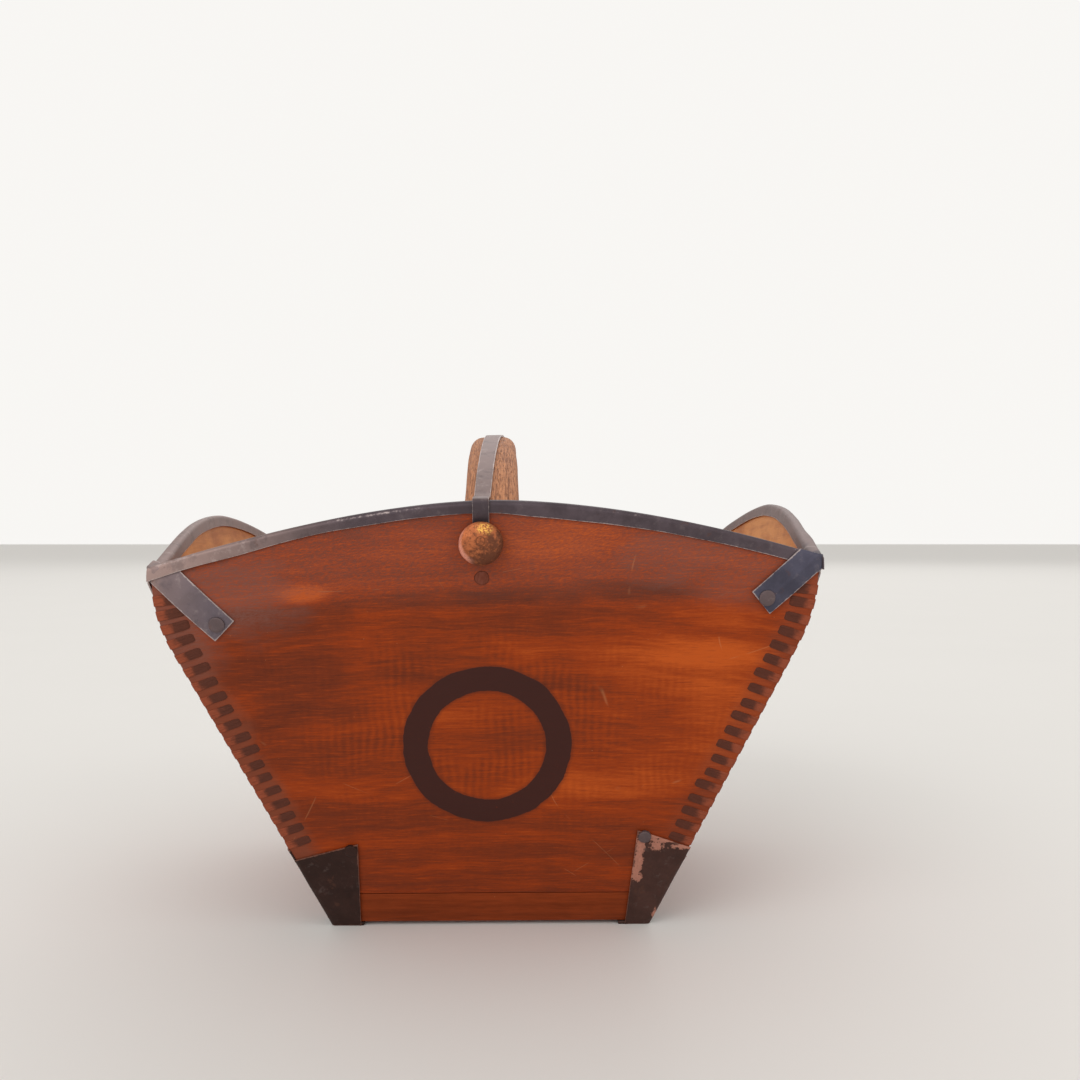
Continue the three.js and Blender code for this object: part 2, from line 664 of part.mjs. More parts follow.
// A thick square board with bevelled edges. Its middle rises inside the walls and holds them.
function baseBoard() {
  const inside = (z) => cornerHalf(z) - (WALL + CLEAR) * Math.hypot(1, FLARE);
  const ring = (half, z) => RECTANGLE.map(([x, y]) => new THREE.Vector3(x * half, y * half, z));
  const levels = [
    [cornerHalf(BASE_BOTTOM) - EDGE_BREAK, BASE_BOTTOM],
    [cornerHalf(BASE_BOTTOM + EDGE_BREAK), BASE_BOTTOM + EDGE_BREAK],
    [cornerHalf(BASE_EDGE_TOP), BASE_EDGE_TOP],
    [inside(BASE_EDGE_TOP), BASE_EDGE_TOP],
    [inside(BASE_PLUG_TOP - EDGE_BREAK), BASE_PLUG_TOP - EDGE_BREAK],
    [inside(BASE_PLUG_TOP) - 2 * EDGE_BREAK, BASE_PLUG_TOP],
  ];
  return loft(levels.map(([half, z]) => ring(half, z)), RECTANGLE_OUTLINE);
}

// The bow's two arcs, each with its top in the middle and its end at a wall.
const arcRadius = (top, end) => (middleHalf(end) ** 2 + (top - end) ** 2) / (2 * (top - end));
const arcHeight = (radius, top, y) => top - radius + Math.sqrt(radius ** 2 - y ** 2);
const BOW_UNDER_TOP = BOW_TOP - BOW_MIDDLE_DEPTH;
const BOW_OUTER_SPAN = middleHalf(RIM_MIDDLE_HEIGHT);
const BOW_OUTER_HEIGHT = BOW_RISE + BOW_END_DROP;
const BOW_OUTER_RADIUS = (BOW_OUTER_SPAN ** 2 + BOW_OUTER_HEIGHT ** 2) / (2 * BOW_OUTER_HEIGHT);
const BOW_INNER_RADIUS = arcRadius(BOW_UNDER_TOP, RIM_MIDDLE_HEIGHT - BOW_FOOT_DROP);
const bowOver = (y) => arcHeight(BOW_OUTER_RADIUS, BOW_TOP, y);
const bowUnder = (y) => arcHeight(BOW_INNER_RADIUS, BOW_UNDER_TOP, y);

// The outline across the bow, from its underside to its crowned top.
function bowSection(under, over) {
  const half = BOW_WIDTH / 2;
  const section = [];
  const corner = (x, z, radius, from, steps) => {
    for (let i = 0; i <= steps; i += 1) {
      const angle = from + (QUARTER_TURN * i) / steps;
      section.push([x + radius * Math.cos(angle), z + radius * Math.sin(angle)]);
    }
  };
  corner(half - BOW_TOP_ROUND, over - BOW_TOP_ROUND, BOW_TOP_ROUND, 0, BOW_TOP_STEPS);
  corner(-half + BOW_TOP_ROUND, over - BOW_TOP_ROUND, BOW_TOP_ROUND, QUARTER_TURN, BOW_TOP_STEPS);
  corner(-half + BOW_UNDER_ROUND, under + BOW_UNDER_ROUND, BOW_UNDER_ROUND, 2 * QUARTER_TURN, BOW_UNDER_STEPS);
  corner(half - BOW_UNDER_ROUND, under + BOW_UNDER_ROUND, BOW_UNDER_ROUND, 3 * QUARTER_TURN, BOW_UNDER_STEPS);
  return section;
}

// The wall's inside, thickened outwards, which trims what stands against it.
function wallTrim(inner, bottom) {
  return sheet({
    inner,
    outer: BOW_WIDTH,
    left: () => -2 * BOW_WIDTH,
    right: () => 2 * BOW_WIDTH,
    bottom: () => bottom,
    top: () => BOW_TOP + BOW_WIDTH,
    columns: 4,
    rows: evenly(4),
  });
}

// A bow sawn from thick wood. Its ends stand against the front and back walls.
function handleBow() {
  const reach = middleHalf(RIM_MIDDLE_HEIGHT) + WALL;
  const rings = [];
  for (const step of evenly(BOW_STEPS)) {
    const y = (2 * step - 1) * reach;
    rings.push(bowSection(bowUnder(y), bowOver(y)).map(([x, z]) => new THREE.Vector3(bowX(y) + x, y, z)));
  }
  const outline = bowSection(bowUnder(0), bowOver(0)).map(([x, z]) => new THREE.Vector2(x, z));
  const trims = [0, 2].flatMap((quarters) => [
    turn(wallTrim(-WALL - CLEAR, bowUnder(reach) - BOW_WIDTH), quarters),
    turn(wallTrim(-WALL - 2 * CLEAR - METAL, rimHeightAt(BOW_WIDTH) - FLANGE - CLEAR), quarters),
  ]);
  const holes = [
    nailHole(NAIL_X, NAIL_LENGTH + CUT_PAST),
    pegHole(PEG_X, PEG_LENGTH + CUT_PAST),
    turn(nailHole(BACK_NAIL_X, NAIL_LENGTH + CUT_PAST), 2),
    turn(pegHole(BACK_PEG_X, PEG_LENGTH + CUT_PAST), 2),
  ];
  return loft(rings, outline).subtract(join([...trims, ...holes]));
}

// The line that the strap's middle follows from the front nail to the top of the bow, as [y, z] pairs.
function strapLine() {
  const half = STRAP_THICK / 2;
  const outside = (z, out) => {
    const p = wallPoint(0, z, out);
    return [p.y, p.z];
  };
  const onWall = CLEAR + half;
  const onFlange = LOWER_LAYER + METAL + CLEAR + half;
  const flangeFoot = RIM_MIDDLE_HEIGHT - FLANGE;
  const overRim = RIM_MIDDLE_HEIGHT + RIM_TOP_EXTRA + CLEAR + half;
  const innerEdge = outside(overRim, -WALL - CLEAR - METAL);
  const line = [
    outside(STRAP_END_HEIGHT, onWall),
    outside(flangeFoot - STRAP_THICK, onWall),
    outside(flangeFoot - half, onFlange),
    outside(overRim - half, onFlange),
    outside(overRim, onFlange - half),
    innerEdge,
  ];
  const onBow = CLEAR + half;
  const shoulder = innerEdge[0] + STRAP_STEP;
  for (const step of evenly(STRAP_STEPS)) {
    const y = shoulder * (1 - step);
    const angle = Math.asin(-y / BOW_OUTER_RADIUS);
    line.push([y - onBow * Math.sin(angle), bowOver(y) + onBow * Math.cos(angle)]);
  }
  return line;
}

// The iron strap that runs over the bow and the rim and ends under the big nails.
function handleStrap() {
  const front = strapLine();
  const back = front.slice(0, -1).reverse().map(([y, z]) => [-y, z]);
  const line = [...front, ...back].map(([y, z]) => new THREE.Vector2(y, z));
  const reach = -line[0].x;
  const rings = line.map((point, i) => {
    const before = line[Math.max(0, i - 1)];
    const after = line[Math.min(line.length - 1, i + 1)];
    const into = point.clone().sub(before).normalize();
    const onward = after.clone().sub(point).normalize();
    const direction = into.clone().add(onward).normalize();
    const normal = new THREE.Vector2(-direction.y, direction.x);
    const bend = into.lengthSq() && onward.lengthSq() ? Math.max(STRAP_SHARPEST, direction.dot(onward)) : 1;
    const half = STRAP_THICK / 2 / bend;
    const share = Math.min(1, Math.abs(point.x) / reach);
    const width = THREE.MathUtils.lerp(STRAP_MIDDLE_WIDTH, STRAP_END_WIDTH, share) / 2;
    return RECTANGLE.map(
      ([side, face]) =>
        new THREE.Vector3(
          strapX(point.x) + side * width,
          point.x + normal.x * face * half,
          point.y + normal.y * face * half,
        ),
    );
  });
  const holes = join([nailHole(NAIL_X, WALL), turn(nailHole(BACK_NAIL_X, WALL), 2)]);
  return loft(rings, RECTANGLE_OUTLINE).subtract(holes);
}

// A big domed nail, hollowed where the strap's end lies under it.
function bigNail(x) {
  const tip = -NAIL_LENGTH;
  const profile = [[0, tip], [NAIL_SHANK, tip + NAIL_POINT], [NAIL_SHANK, CLEAR], [NAIL_RADIUS, CLEAR]];
  for (let i = 0; i <= DOME_STEPS; i += 1) {
    const angle = (QUARTER_TURN * i) / DOME_STEPS;
    const radius = i === DOME_STEPS ? 0 : NAIL_RADIUS * Math.cos(angle);
    profile.push([radius, CLEAR + NAIL_EDGE + NAIL_DOME * Math.sin(angle)]);
  }
  const halfSlot = STRAP_END_WIDTH / 2 + 2 * CLEAR;
  const slotTop = CLEAR + STRAP_THICK + CLEAR;
  const slot = sheet({
    inner: -CUT_PAST / 2,
    outer: slotTop,
    left: () => x - halfSlot,
    right: () => x + halfSlot,
    bottom: () => STRAP_END_HEIGHT - 2 * CLEAR,
    top: () => NAIL_HEIGHT + 2 * NAIL_RADIUS,
    columns: 1,
    rows: evenly(2),
  });
  const neck = [[0, -CUT_PAST], [NAIL_SHANK, -CUT_PAST], [NAIL_SHANK, 2 * slotTop], [0, 2 * slotTop]];
  const head = turned(x, NAIL_HEIGHT, profile, NAIL_SIDES).subtract(slot);
  return head.add(turned(x, NAIL_HEIGHT, neck, NAIL_SIDES));
}

function peg(x) {
  const profile = [[0, -PEG_LENGTH], [PEG_RADIUS, -PEG_LENGTH], [PEG_RADIUS, PEG_PROUD], [0, PEG_PROUD]];
  return turned(x, PEG_HEIGHT, profile, NAIL_SIDES);
}

// Assembly

const measure = new THREE.Group();

// Adds a piece, leaned out of true like the rim.
function add(name, solid, material) {
  const geometry = toGeometry(solid);
  const position = geometry.getAttribute("position");
  const cornerX = cornerHalf(CORNER_HEIGHT);
  for (let i = 0; i < position.count; i += 1) {
    const z = position.getZ(i);
    position.setZ(i, z * (1 + (LEAN * position.getX(i)) / cornerX));
  }
  const mesh = new THREE.Mesh(geometry, material);
  mesh.name = name;
  measure.add(mesh);
}

const SIDES = ["front", "right", "back", "left"];
const CORNERS = ["front_right", "back_right", "back_left", "front_left"];
const strip = rimStrip();
const shoe = cornerShoe();
const lace = lacing();

add("base_board", baseBoard(), BASE_WOOD);
SIDES.forEach((side, quarters) => {
  const isBack = quarters === 2;
  const board = wall(isBack ? BACK_NAIL_X : NAIL_X, isBack ? BACK_PEG_X : PEG_X, quarters % 2 === 0);
  add(`${side}_wall`, turn(board, quarters), STAINED_WOOD);
  add(`${side}_rim_strip`, turn(strip, quarters), IRON);
  for (const item of TABS) {
    const place = tabRivetPlace(item);
    const hand = item.side < 0 ? "left" : "right";
    const fastener = rivet(place.x, place.y, item.seat, TAB_RIVET_HEAD);
    add(`${side}_tab_rivet_${hand}`, turn(fastener, quarters), IRON);
  }
  for (const leaf of LEAVES) {
    const place = leafRivetPlace(leaf);
    const hand = leaf.side < 0 ? "left" : "right";
    const fastener = rivet(place.x, place.y, LOWER_LAYER, SHOE_RIVET_HEAD);
    add(`${side}_shoe_rivet_${hand}`, turn(fastener, quarters), IRON);
  }
});
CORNERS.forEach((corner, quarters) => {
  add(`${corner}_lacing`, turn(lace, quarters), BARK);
  add(`${corner}_shoe`, turn(shoe, quarters), IRON);
});
add("handle_bow", handleBow(), RAW_WOOD);
add("handle_strap", handleStrap(), IRON);
add("front_nail", bigNail(NAIL_X), COPPER);
add("back_nail", turn(bigNail(BACK_NAIL_X), 2), COPPER);
add("front_peg", peg(PEG_X), BASE_WOOD);
add("back_peg", turn(peg(BACK_PEG_X), 2), BASE_WOOD);

export default measure;
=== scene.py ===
import math
import random
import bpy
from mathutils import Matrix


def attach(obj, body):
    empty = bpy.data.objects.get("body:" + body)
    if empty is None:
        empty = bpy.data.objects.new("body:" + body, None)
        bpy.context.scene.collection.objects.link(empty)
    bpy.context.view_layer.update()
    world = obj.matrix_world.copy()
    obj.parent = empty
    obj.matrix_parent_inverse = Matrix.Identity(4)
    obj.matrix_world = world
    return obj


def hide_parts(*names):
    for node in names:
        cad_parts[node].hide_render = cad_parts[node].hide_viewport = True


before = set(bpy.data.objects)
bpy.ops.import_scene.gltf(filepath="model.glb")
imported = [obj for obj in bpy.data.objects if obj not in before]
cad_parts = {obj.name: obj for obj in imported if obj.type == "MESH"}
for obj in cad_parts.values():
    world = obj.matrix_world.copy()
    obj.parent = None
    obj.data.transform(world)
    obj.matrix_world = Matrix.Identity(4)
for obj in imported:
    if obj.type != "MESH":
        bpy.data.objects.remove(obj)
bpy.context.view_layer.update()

from types import SimpleNamespace

import bpy
from bpy.props import FloatProperty, FloatVectorProperty, IntProperty, PointerProperty
from mathutils import Matrix, Vector, noise

bl_info = {
    "name": "Laced Grain Measure",
    "version": (1, 0, 0),
    "blender": (4, 5, 0),
    "location": "3D View > Sidebar > Measure",
    "description": "Dresses a laced wooden grain measure with fine meshes and worn finishes",
    "category": "Object",
}

MM = 0.001
SIDES = ("front", "right", "back", "left")
CORNERS = ("front_right", "back_right", "back_left", "front_left")
QUARTER_TURN = math.pi / 2


# Sizes and colours a user can change


def length(name, description, default):
    return FloatProperty(name=name, description=description, default=default, unit="LENGTH")


def number(name, description, default):
    return FloatProperty(name=name, description=description, default=default)


def angle(name, description, degrees):
    return FloatProperty(name=name, description=description, default=math.radians(degrees), subtype="ANGLE")


def colour(name, description, default):
    return FloatVectorProperty(
        name=name, description=description, default=default, size=3, min=0.0, max=1.0, subtype="COLOR"
    )


class BodySizes(bpy.types.PropertyGroup):
    """Sizes of the boards, in metres."""

    base_half: length("Half foot", "Half the width of the foot at the table", 0.0995)
    flare: number("Flare", "Outward run of a wall per unit of height", 0.42)
    bend_height: length("Bend height", "Below this the walls are flat", 0.182)
    corner_height: length("Corner height", "Height of the rim at a corner", 0.231)
    corner_top_flare: number("Corner flare at rim", "The flare at a corner's top", -0.05)
    rim_rise: length("Rim rise", "Rise of the rim's arch", 0.0325)
    rim_power: number("Rim power", "Shapes the rim's arch", 1.75)
    middle_top_flare: number("Middle flare at rim", "What is left of the flare at the arch's top", 0.2)
    lean: number("Lean", "How far out of true the rim stands", 0.0145)
    wall: length("Wall", "Thickness of a wall", 0.004)
    base_bottom: length("Base bottom", "Height of the base board's underside", 0.0025)
    base_edge_top: length("Base edge top", "Height of the base board's visible edge", 0.0228)
    base_plug_top: length("Base plug top", "Height of the base board inside", 0.032)


class IronSizes(bpy.types.PropertyGroup):
    """Sizes of the sheet iron, its rivets and the nails, in metres."""

    clear: length("Clearance", "Gap between layers", 0.0003)
    sheet: length("Sheet", "Thickness of the iron", 0.0009)
    flange: length("Flange", "Height of a folded side", 0.0078)
    front_flange: length("Narrow flange", "Its height where the front one is narrowest", 0.006)
    fold: length("Fold", "Radius of the rim's folds", 0.0021)
    tab_width: length("Tab width", "Width of a tab", 0.0161)
    tab_rise: length("Tab rise", "Of a tab's middle line above the corner's top", 0.0036)
    long_tab: length("Long tab", "Length of the lower tab", 0.0555)
    long_tab_angle: angle("Long tab angle", "Slope of the lower tab", 45)
    long_tab_inset: length("Long tab inset", "From its end to its rivet", 0.0056)
    short_tab: length("Short tab", "Length of the upper tab", 0.0431)
    short_tab_angle: angle("Short tab angle", "Slope of the upper tab", 40.5)
    short_tab_inset: length("Short tab inset", "From its end to its rivet", 0.0042)
    tab_rivet: length("Tab rivet", "Radius of a tab rivet's head", 0.0045)
    shoe_rivet: length("Shoe rivet", "Radius of a shoe rivet's head", 0.004)
    rivet_height: length("Rivet height", "Height of a head", 0.0009)
    nail_drop: length("Nail drop", "Of the nail's middle below the rim's top", 0.0206)
    nail_radius: length("Nail radius", "Radius of the big nail", 0.0121)
    nail_dome: length("Nail dome", "Rise of the nail's dome", 0.0062)
    peg_drop: length("Peg drop", "Of the peg's middle below the nail's", 0.0202)
    peg_radius: length("Peg radius", "Radius of the peg", 0.0042)


class ShoeSizes(bpy.types.PropertyGroup):
    """Sizes of the corner shoes, in metres. Widths are measured in from the corner."""

    high_foot_width: length("High leaf foot", "Width of the high leaf at the table", 0.015)
    high_top_width: length("High leaf top", "Its width at the top", 0.0379)
    high_inner_height: length("High leaf height", "Its height at the inner edge", 0.067)
    high_corner_height: length("High leaf corner", "Its height at the corner", 0.0546)
    low_foot_width: length("Low leaf foot", "Width of the low leaf at the table", 0.0175)
    low_top_width: length("Low leaf top", "Its width at the top", 0.0438)
    low_inner_height: length("Low leaf height", "Its height at the inner edge", 0.059)
    low_corner_height: length("Low leaf corner", "Its height at the corner", 0.0478)
    rivet_inset: length("Rivet inset", "From the inner edge to the rivet", 0.0044)
    rivet_drop: length("Rivet drop", "From the top to the rivet", 0.0042)
    foot_reach: length("Foot reach", "Width of the plate under the corner", 0.0205)
    foot_thick: length("Foot thickness", "Thickness of that plate", 0.0022)
    corner_cut: length("Corner cut", "Cut off that plate's outer corner", 0.003)


class LaceSizes(bpy.types.PropertyGroup):
    """Sizes of the lacing, in metres."""

    width: length("Width", "Width of the strip", 0.0056)
    thick: length("Thickness", "Thickness of the strip", 0.0009)
    sunk: length("Sunk", "Depth of the strip's middle in the wood", 0.00005)
    reach: length("Reach", "From the corner to a slot", 0.0155)
    pitch: length("Pitch", "From stitch to stitch", 0.0086)
    start: length("Start", "Height of the lowest stitch", 0.058)
    stitches: IntProperty(name="Stitches", description="Stitches on a corner", default=19, min=2)


class BowSizes(bpy.types.PropertyGroup):
    """Sizes of the handle and its strap, in metres."""

    width: length("Width", "Width of the bow", 0.0305)
    rise: length("Rise", "Of the bow's top above the rim", 0.0528)
    end_drop: length("End drop", "Of the top line's end below the rim", 0.00565)
    middle_depth: length("Middle depth", "Depth in the middle", 0.026)
    foot_drop: length("Foot drop", "Of the underside's end below the rim", 0.05365)
    top_round: length("Top round", "Radius of the upper corners", 0.0085)
    under_round: length("Under round", "Radius of the lower corners", 0.005)
    shift: length("Shift", "Sideways place of the bow", -0.0012)
    slant: number("Slant", "Sideways run per unit to the back", -0.021)
    strap_thick: length("Strap thickness", "Thickness of the strap", 0.0012)
    strap_end_width: length("Strap end width", "Its width at the nail", 0.009)
    strap_middle_width: length("Strap width", "Its width at the top", 0.0112)
    strap_shift: length("Strap shift", "Sideways place of the strap", 0.0013)
    strap_slant: number("Strap slant", "Its sideways run per unit to the back", 0.0205)
    strap_end_drop: length("Strap end drop", "Of its end below the nail's middle", 0.008)
    strap_step: length("Strap step", "From the rim to where it lies on the bow", 0.009)


class MeasureColours(bpy.types.PropertyGroup):
    """Colours of the finishes, as linear values."""

    stain: colour("Stain", "The wood's stain", (0.300, 0.0435, 0.0070))
    stain_light: colour("Light stain", "Where the stain is thin", (0.500, 0.088, 0.0125))
    stain_brown: colour("Brown stain", "Where the stain is thick", (0.188, 0.0325, 0.0095))
    stain_dark: colour("Dark stain", "Where the stain has gathered", (0.112, 0.024, 0.0105))
    # dulled shellac near the rim, and the colour of the painted sheen there
    haze: colour("Haze", "Dulled shellac near the rim", (0.205, 0.086, 0.066))
    edge: colour("Edge stain", "Where the boards are laced", (0.200, 0.055, 0.029))
    rubbed: colour("Rubbed wood", "Scratched through to pale wood", (0.58, 0.27, 0.12))
    inner: colour("Inner wood", "Unstained inside", (0.73, 0.33, 0.118))
    inner_dark: colour("Inner smudges", "Smudges on the inside", (0.44, 0.16, 0.060))
    base: colour("Base wood", "Stained base board", (0.250, 0.043, 0.0095))
    bow: colour("Bow wood", "Dry handled wood", (0.58, 0.250, 0.118))
    bow_dark: colour("Bow streaks", "Dark streaks of the bow", (0.20, 0.075, 0.038))
    bark: colour("Bark", "Lacing", (0.100, 0.030, 0.0180))
    bark_light: colour("Rubbed bark", "Lacing where it is rubbed", (0.290, 0.068, 0.0310))
    iron: colour("Iron", "Sheet iron on the rim", (0.100, 0.075, 0.086))
    # rubbed iron, also painted on as light: to the left of the rim iron, on the strap over the bow, and
    # around the rivets' rims as a painted highlight
    iron_light: colour("Light iron", "Rim iron where it is rubbed clean", (0.330, 0.230, 0.205))
    # bright worn edges, also the colour of the painted highlight along the rim strips' outer fold
    iron_edge: colour("Iron edges", "Bright worn edges", (0.50, 0.41, 0.39))
    shoe: colour("Shoe iron", "Nearly black iron", (0.046, 0.021, 0.0165))
    shoe_worn: colour("Worn shoe", "Pinkish wear on the shoes", (0.46, 0.20, 0.14))
    rust: colour("Rust", "Rust spots", (0.14, 0.060, 0.038))
    copper: colour("Copper", "Big nails", (0.46, 0.140, 0.052))
    copper_dark: colour("Dark copper", "Tarnish on the nails", (0.150, 0.050, 0.025))
    brass: colour("Bright spot", "Yellow spot on the nails", (0.90, 0.50, 0.11))
    paint: colour("Paint", "The painted ring", (0.047, 0.0175, 0.0145))
    floor: colour("Floor", "Plain pale floor", (0.84, 0.82, 0.79))
    studio: colour("Studio", "Light all around", (0.94, 0.925, 0.90))


GROUPS = {
    "measure_body": BodySizes,
    "measure_iron": IronSizes,
    "measure_shoe": ShoeSizes,
    "measure_lace": LaceSizes,
    "measure_bow": BowSizes,
    "measure_colours": MeasureColours,
}


# The shape of the walls

MITRE_STEPS = 5  # rounds in which a mitre's place is found
CORNER_ROUND = 2.2 * MM  # how far from a corner its rounding starts
NORMAL_STEP = 0.01 * MM  # between the places that a wall's slope is measured from
CORNER_STEP = 0.5 * MM  # the same for a corner's


def smooth_step(t):
    """Eases from 0 to 1."""
    t = max(0.0, min(1.0, t))
    return t * t * (3 - 2 * t)


def smooth_between(value, start, end):
    """Eases from 0 at start to 1 at end."""
    return smooth_step((value - start) / (end - start))


def bell(t):
    """A smooth hump: 1 at 0, and nearly nothing past 2."""
    return math.exp(-(t**2))


def across_corner(point):
    """Mirrors a point of the front wall across its right corner onto the next wall."""
    return Vector((-point.y, -point.x, point.z))


class Plan:
    """Plain copies of the sizes and colours, and the shapes that follow from them.

    Shapes are worked out on the front wall, which faces -Y, and turned to the others."""

    def __init__(self, scene):
        for name, kind in GROUPS.items():
            group = getattr(scene, name)
            values = {}
            for key in kind.__annotations__:
                value = getattr(group, key)
                values[key] = tuple(value) if hasattr(value, "__len__") else value
            setattr(self, name.removeprefix("measure_"), SimpleNamespace(**values))
        body, iron, bow = self.body, self.iron, self.bow
        self.rim_top = body.corner_height + body.rim_rise
        self.corner_top_half = self.corner_half(body.corner_height)
        self.lower = iron.clear
        self.upper = 2 * iron.clear + iron.sheet
        self.nail_height = self.rim_top - iron.nail_drop
        self.peg_height = self.nail_height - iron.peg_drop
        self.tabs = (self.tab(-1, "left", "long", self.lower), self.tab(1, "right", "short", self.upper))
        self.leaves = (self.leaf(-1, "left", "low"), self.leaf(1, "right", "high"))
        self.bow_top = self.rim_top + bow.rise
        self.bow_under_top = self.bow_top - bow.middle_depth
        self.bow_outer = self.arc_radius(bow.rise + bow.end_drop, self.middle_half(self.rim_top))
        foot_height = self.rim_top - bow.foot_drop
        self.bow_inner = self.arc_radius(self.bow_under_top - foot_height, self.middle_half(foot_height))

    def tab(self, side, hand, kind, seat):
        """A tab of a rim strip, long or short."""
        sizes = vars(self.iron)
        return SimpleNamespace(
            side=side,
            hand=hand,
            length=sizes[f"{kind}_tab"],
            angle=sizes[f"{kind}_tab_angle"],
            inset=sizes[f"{kind}_tab_inset"],
            seat=seat,
        )

    def leaf(self, side, hand, kind):
        """A leaf of a shoe, low or high."""
        sizes = vars(self.shoe)
        inner_height = sizes[f"{kind}_inner_height"]
        return SimpleNamespace(
            side=side,
            hand=hand,
            inner_height=inner_height,
            corner_height=sizes[f"{kind}_corner_height"],
            foot_x=self.corner_half(0.0) - sizes[f"{kind}_foot_width"],
            top_x=self.corner_half(inner_height) - sizes[f"{kind}_top_width"],
        )

    def half_width(self, z, top_flare, top_height):
        """Half the width at a height.

        It flares steadily up to the bend, and then less and less, down to top_flare at top_height."""
        body = self.body
        above = max(0.0, z - body.bend_height)
        span = top_height - body.bend_height
        eased = min(above, span)
        half = body.base_half + body.flare * min(z, body.bend_height)
        half += body.flare * eased - (body.flare - top_flare) * eased**2 / (2 * span)
        return half + top_flare * (above - eased)

    def corner_half(self, z):
        return self.half_width(z, self.body.corner_top_flare, self.body.corner_height)

    def middle_half(self, z):
        return self.half_width(z, self.body.middle_top_flare, self.rim_top)

    def wall_distance(self, x, z):
        corner = self.corner_half(z)
        return corner + (self.middle_half(z) - corner) * (1 - (x / corner) ** 2)

    def wall_normal(self, x, z):
        step = NORMAL_STEP
        across = (self.wall_distance(x + step, z) - self.wall_distance(x - step, z)) / (2 * step)
        up = (self.wall_distance(x, z + step) - self.wall_distance(x, z - step)) / (2 * step)
        return Vector((-across, -1, -up)).normalized()

    def wall_point(self, x, z, out):
        """A point of the front wall, at a distance outside its outer face."""
        return Vector((x, -self.wall_distance(x, z), z)) + self.wall_normal(x, z) * out

    def mitre(self, z, out):
        """Where a layer of the front wall meets the diagonal plane through the corner."""
        x = self.corner_half(z) + out
        for _ in range(MITRE_STEPS):
            point = self.wall_point(x, z, out)
            x += (-point.y - point.x) / 2
        return x

    def rim_height(self, share):
        body = self.body
        return body.corner_height + body.rim_rise * (1 - min(1.0, abs(share)) ** body.rim_power)

    def wrapped_point(self, x, z, out):
        """A point of the front wall or, past a corner, of the next one, with a rounded turn between."""
        corner = self.corner_half(z)
        past = abs(x) - corner
        if past <= -CORNER_ROUND:
            return self.wall_point(x, z, out)
        if past >= CORNER_ROUND:
            point = across_corner(self.wall_point(2 * corner - abs(x), z, out))
        else:
            near = self.wall_point(corner - CORNER_ROUND, z, out)
            far = across_corner(near)
            tip = self.wall_point(self.mitre(z, out), z, out)
            turn = (past / CORNER_ROUND + 1) / 2
            point = near * (1 - turn) ** 2 + tip * 2 * turn * (1 - turn) + far * turn**2
        return Vector((math.copysign(point.x, x), point.y, point.z))

    def placed(self, point, quarters):
        """Turns a point of the front wall to another wall, and leans it out of true as the rim stands."""
        turned = Matrix.Rotation(quarters * QUARTER_TURN, 3, "Z") @ point
        lean = 1 + self.body.lean * turned.x / self.corner_top_half
        return Vector((turned.x, turned.y, turned.z * lean))

    def tab_point(self, tab, along, across):
        """A place on a tab, measured along it from the corner and across it, as x and z of its wall."""
        cos, sin = math.cos(tab.angle), math.sin(tab.angle)
        x = tab.side * (self.corner_top_half - cos * along - sin * across)
        return x, self.body.corner_height + self.iron.tab_rise - sin * along + cos * across

    def corner_frame(self, z):
        """The front wall's right corner at a height: its place, the corner's direction, and the wall's.

        The wall's are the one out of its face and the one along it, away from the corner."""
        heights = (z - CORNER_STEP, z + CORNER_STEP, z)
        low, high, place = (Vector((self.corner_half(h), -self.corner_half(h), h)) for h in heights)
        along = (high - low).normalized()
        normal = self.wall_normal(place.x, z)
        normal = (normal - along * normal.dot(along)).normalized()
        inward = normal.cross(along).normalized()
        return place, along, normal, -inward if inward.x > 0 else inward

    def arc_radius(self, height, reach):
        return (reach**2 + height**2) / (2 * height)

    def bow_over(self, y):
        return self.bow_top - self.bow_outer + math.sqrt(self.bow_outer**2 - y**2)

    def bow_under(self, y):
        return self.bow_under_top - self.bow_inner + math.sqrt(self.bow_inner**2 - y**2)

    def strap_x(self, y):
        return self.bow.strap_shift + self.bow.strap_slant * y

    def side_x(self, sign, height):
        """Where the strap meets the front wall, or the back one with a sign of -1, seen from outside."""
        return sign * self.strap_x(-sign * self.middle_half(height))


# Modelling helpers

SEAM_GAP = 0.005 * MM  # points closer than this are one


def deselect():
    bpy.ops.object.select_all(action="DESELECT")


def make_active(piece):
    deselect()
    piece.select_set(True)
    bpy.context.view_layer.objects.active = piece


def named(name):
    """The piece that the last operator made, with its name."""
    piece = bpy.context.object
    piece.name = name
    piece.data.name = name
    return piece


def primitive(name, operator, **options):
    """Adds a primitive by its operator and names it."""
    deselect()
    operator(**options)
    return named(name)


def copied(model, name):
    """A copy of a piece with a mesh of its own."""
    make_active(model)
    bpy.ops.object.duplicate(linked=False)
    return named(name)


def delete(*pieces):
    deselect()
    for piece in pieces:
        piece.select_set(True)
    bpy.ops.object.delete()


def edit(piece, kind, action="DESELECT"):
    """Opens a piece for editing its points, edges or faces, with none of them selected or all."""
    make_active(piece)
    bpy.ops.object.mode_set(mode="EDIT")
    bpy.ops.mesh.select_mode(type=kind)
    bpy.ops.mesh.select_all(action=action)


def end_edit():
    bpy.ops.object.mode_set(mode="OBJECT")


def edit_top(piece):
    """Opens a piece for editing with its highest face selected."""
    top = max(piece.data.polygons, key=lambda face: face.center.z).index
    edit(piece, "FACE")
    end_edit()
    piece.data.polygons[top].select = True
    bpy.ops.object.mode_set(mode="EDIT")


def store_wear(piece, values):
    """Stores how worn each point is, from 0 to 1."""
    layer = piece.data.attributes.get("wear") or piece.data.attributes.new("wear", "FLOAT", "POINT")
    for index, value in enumerate(values):
        layer.data[index].value = value


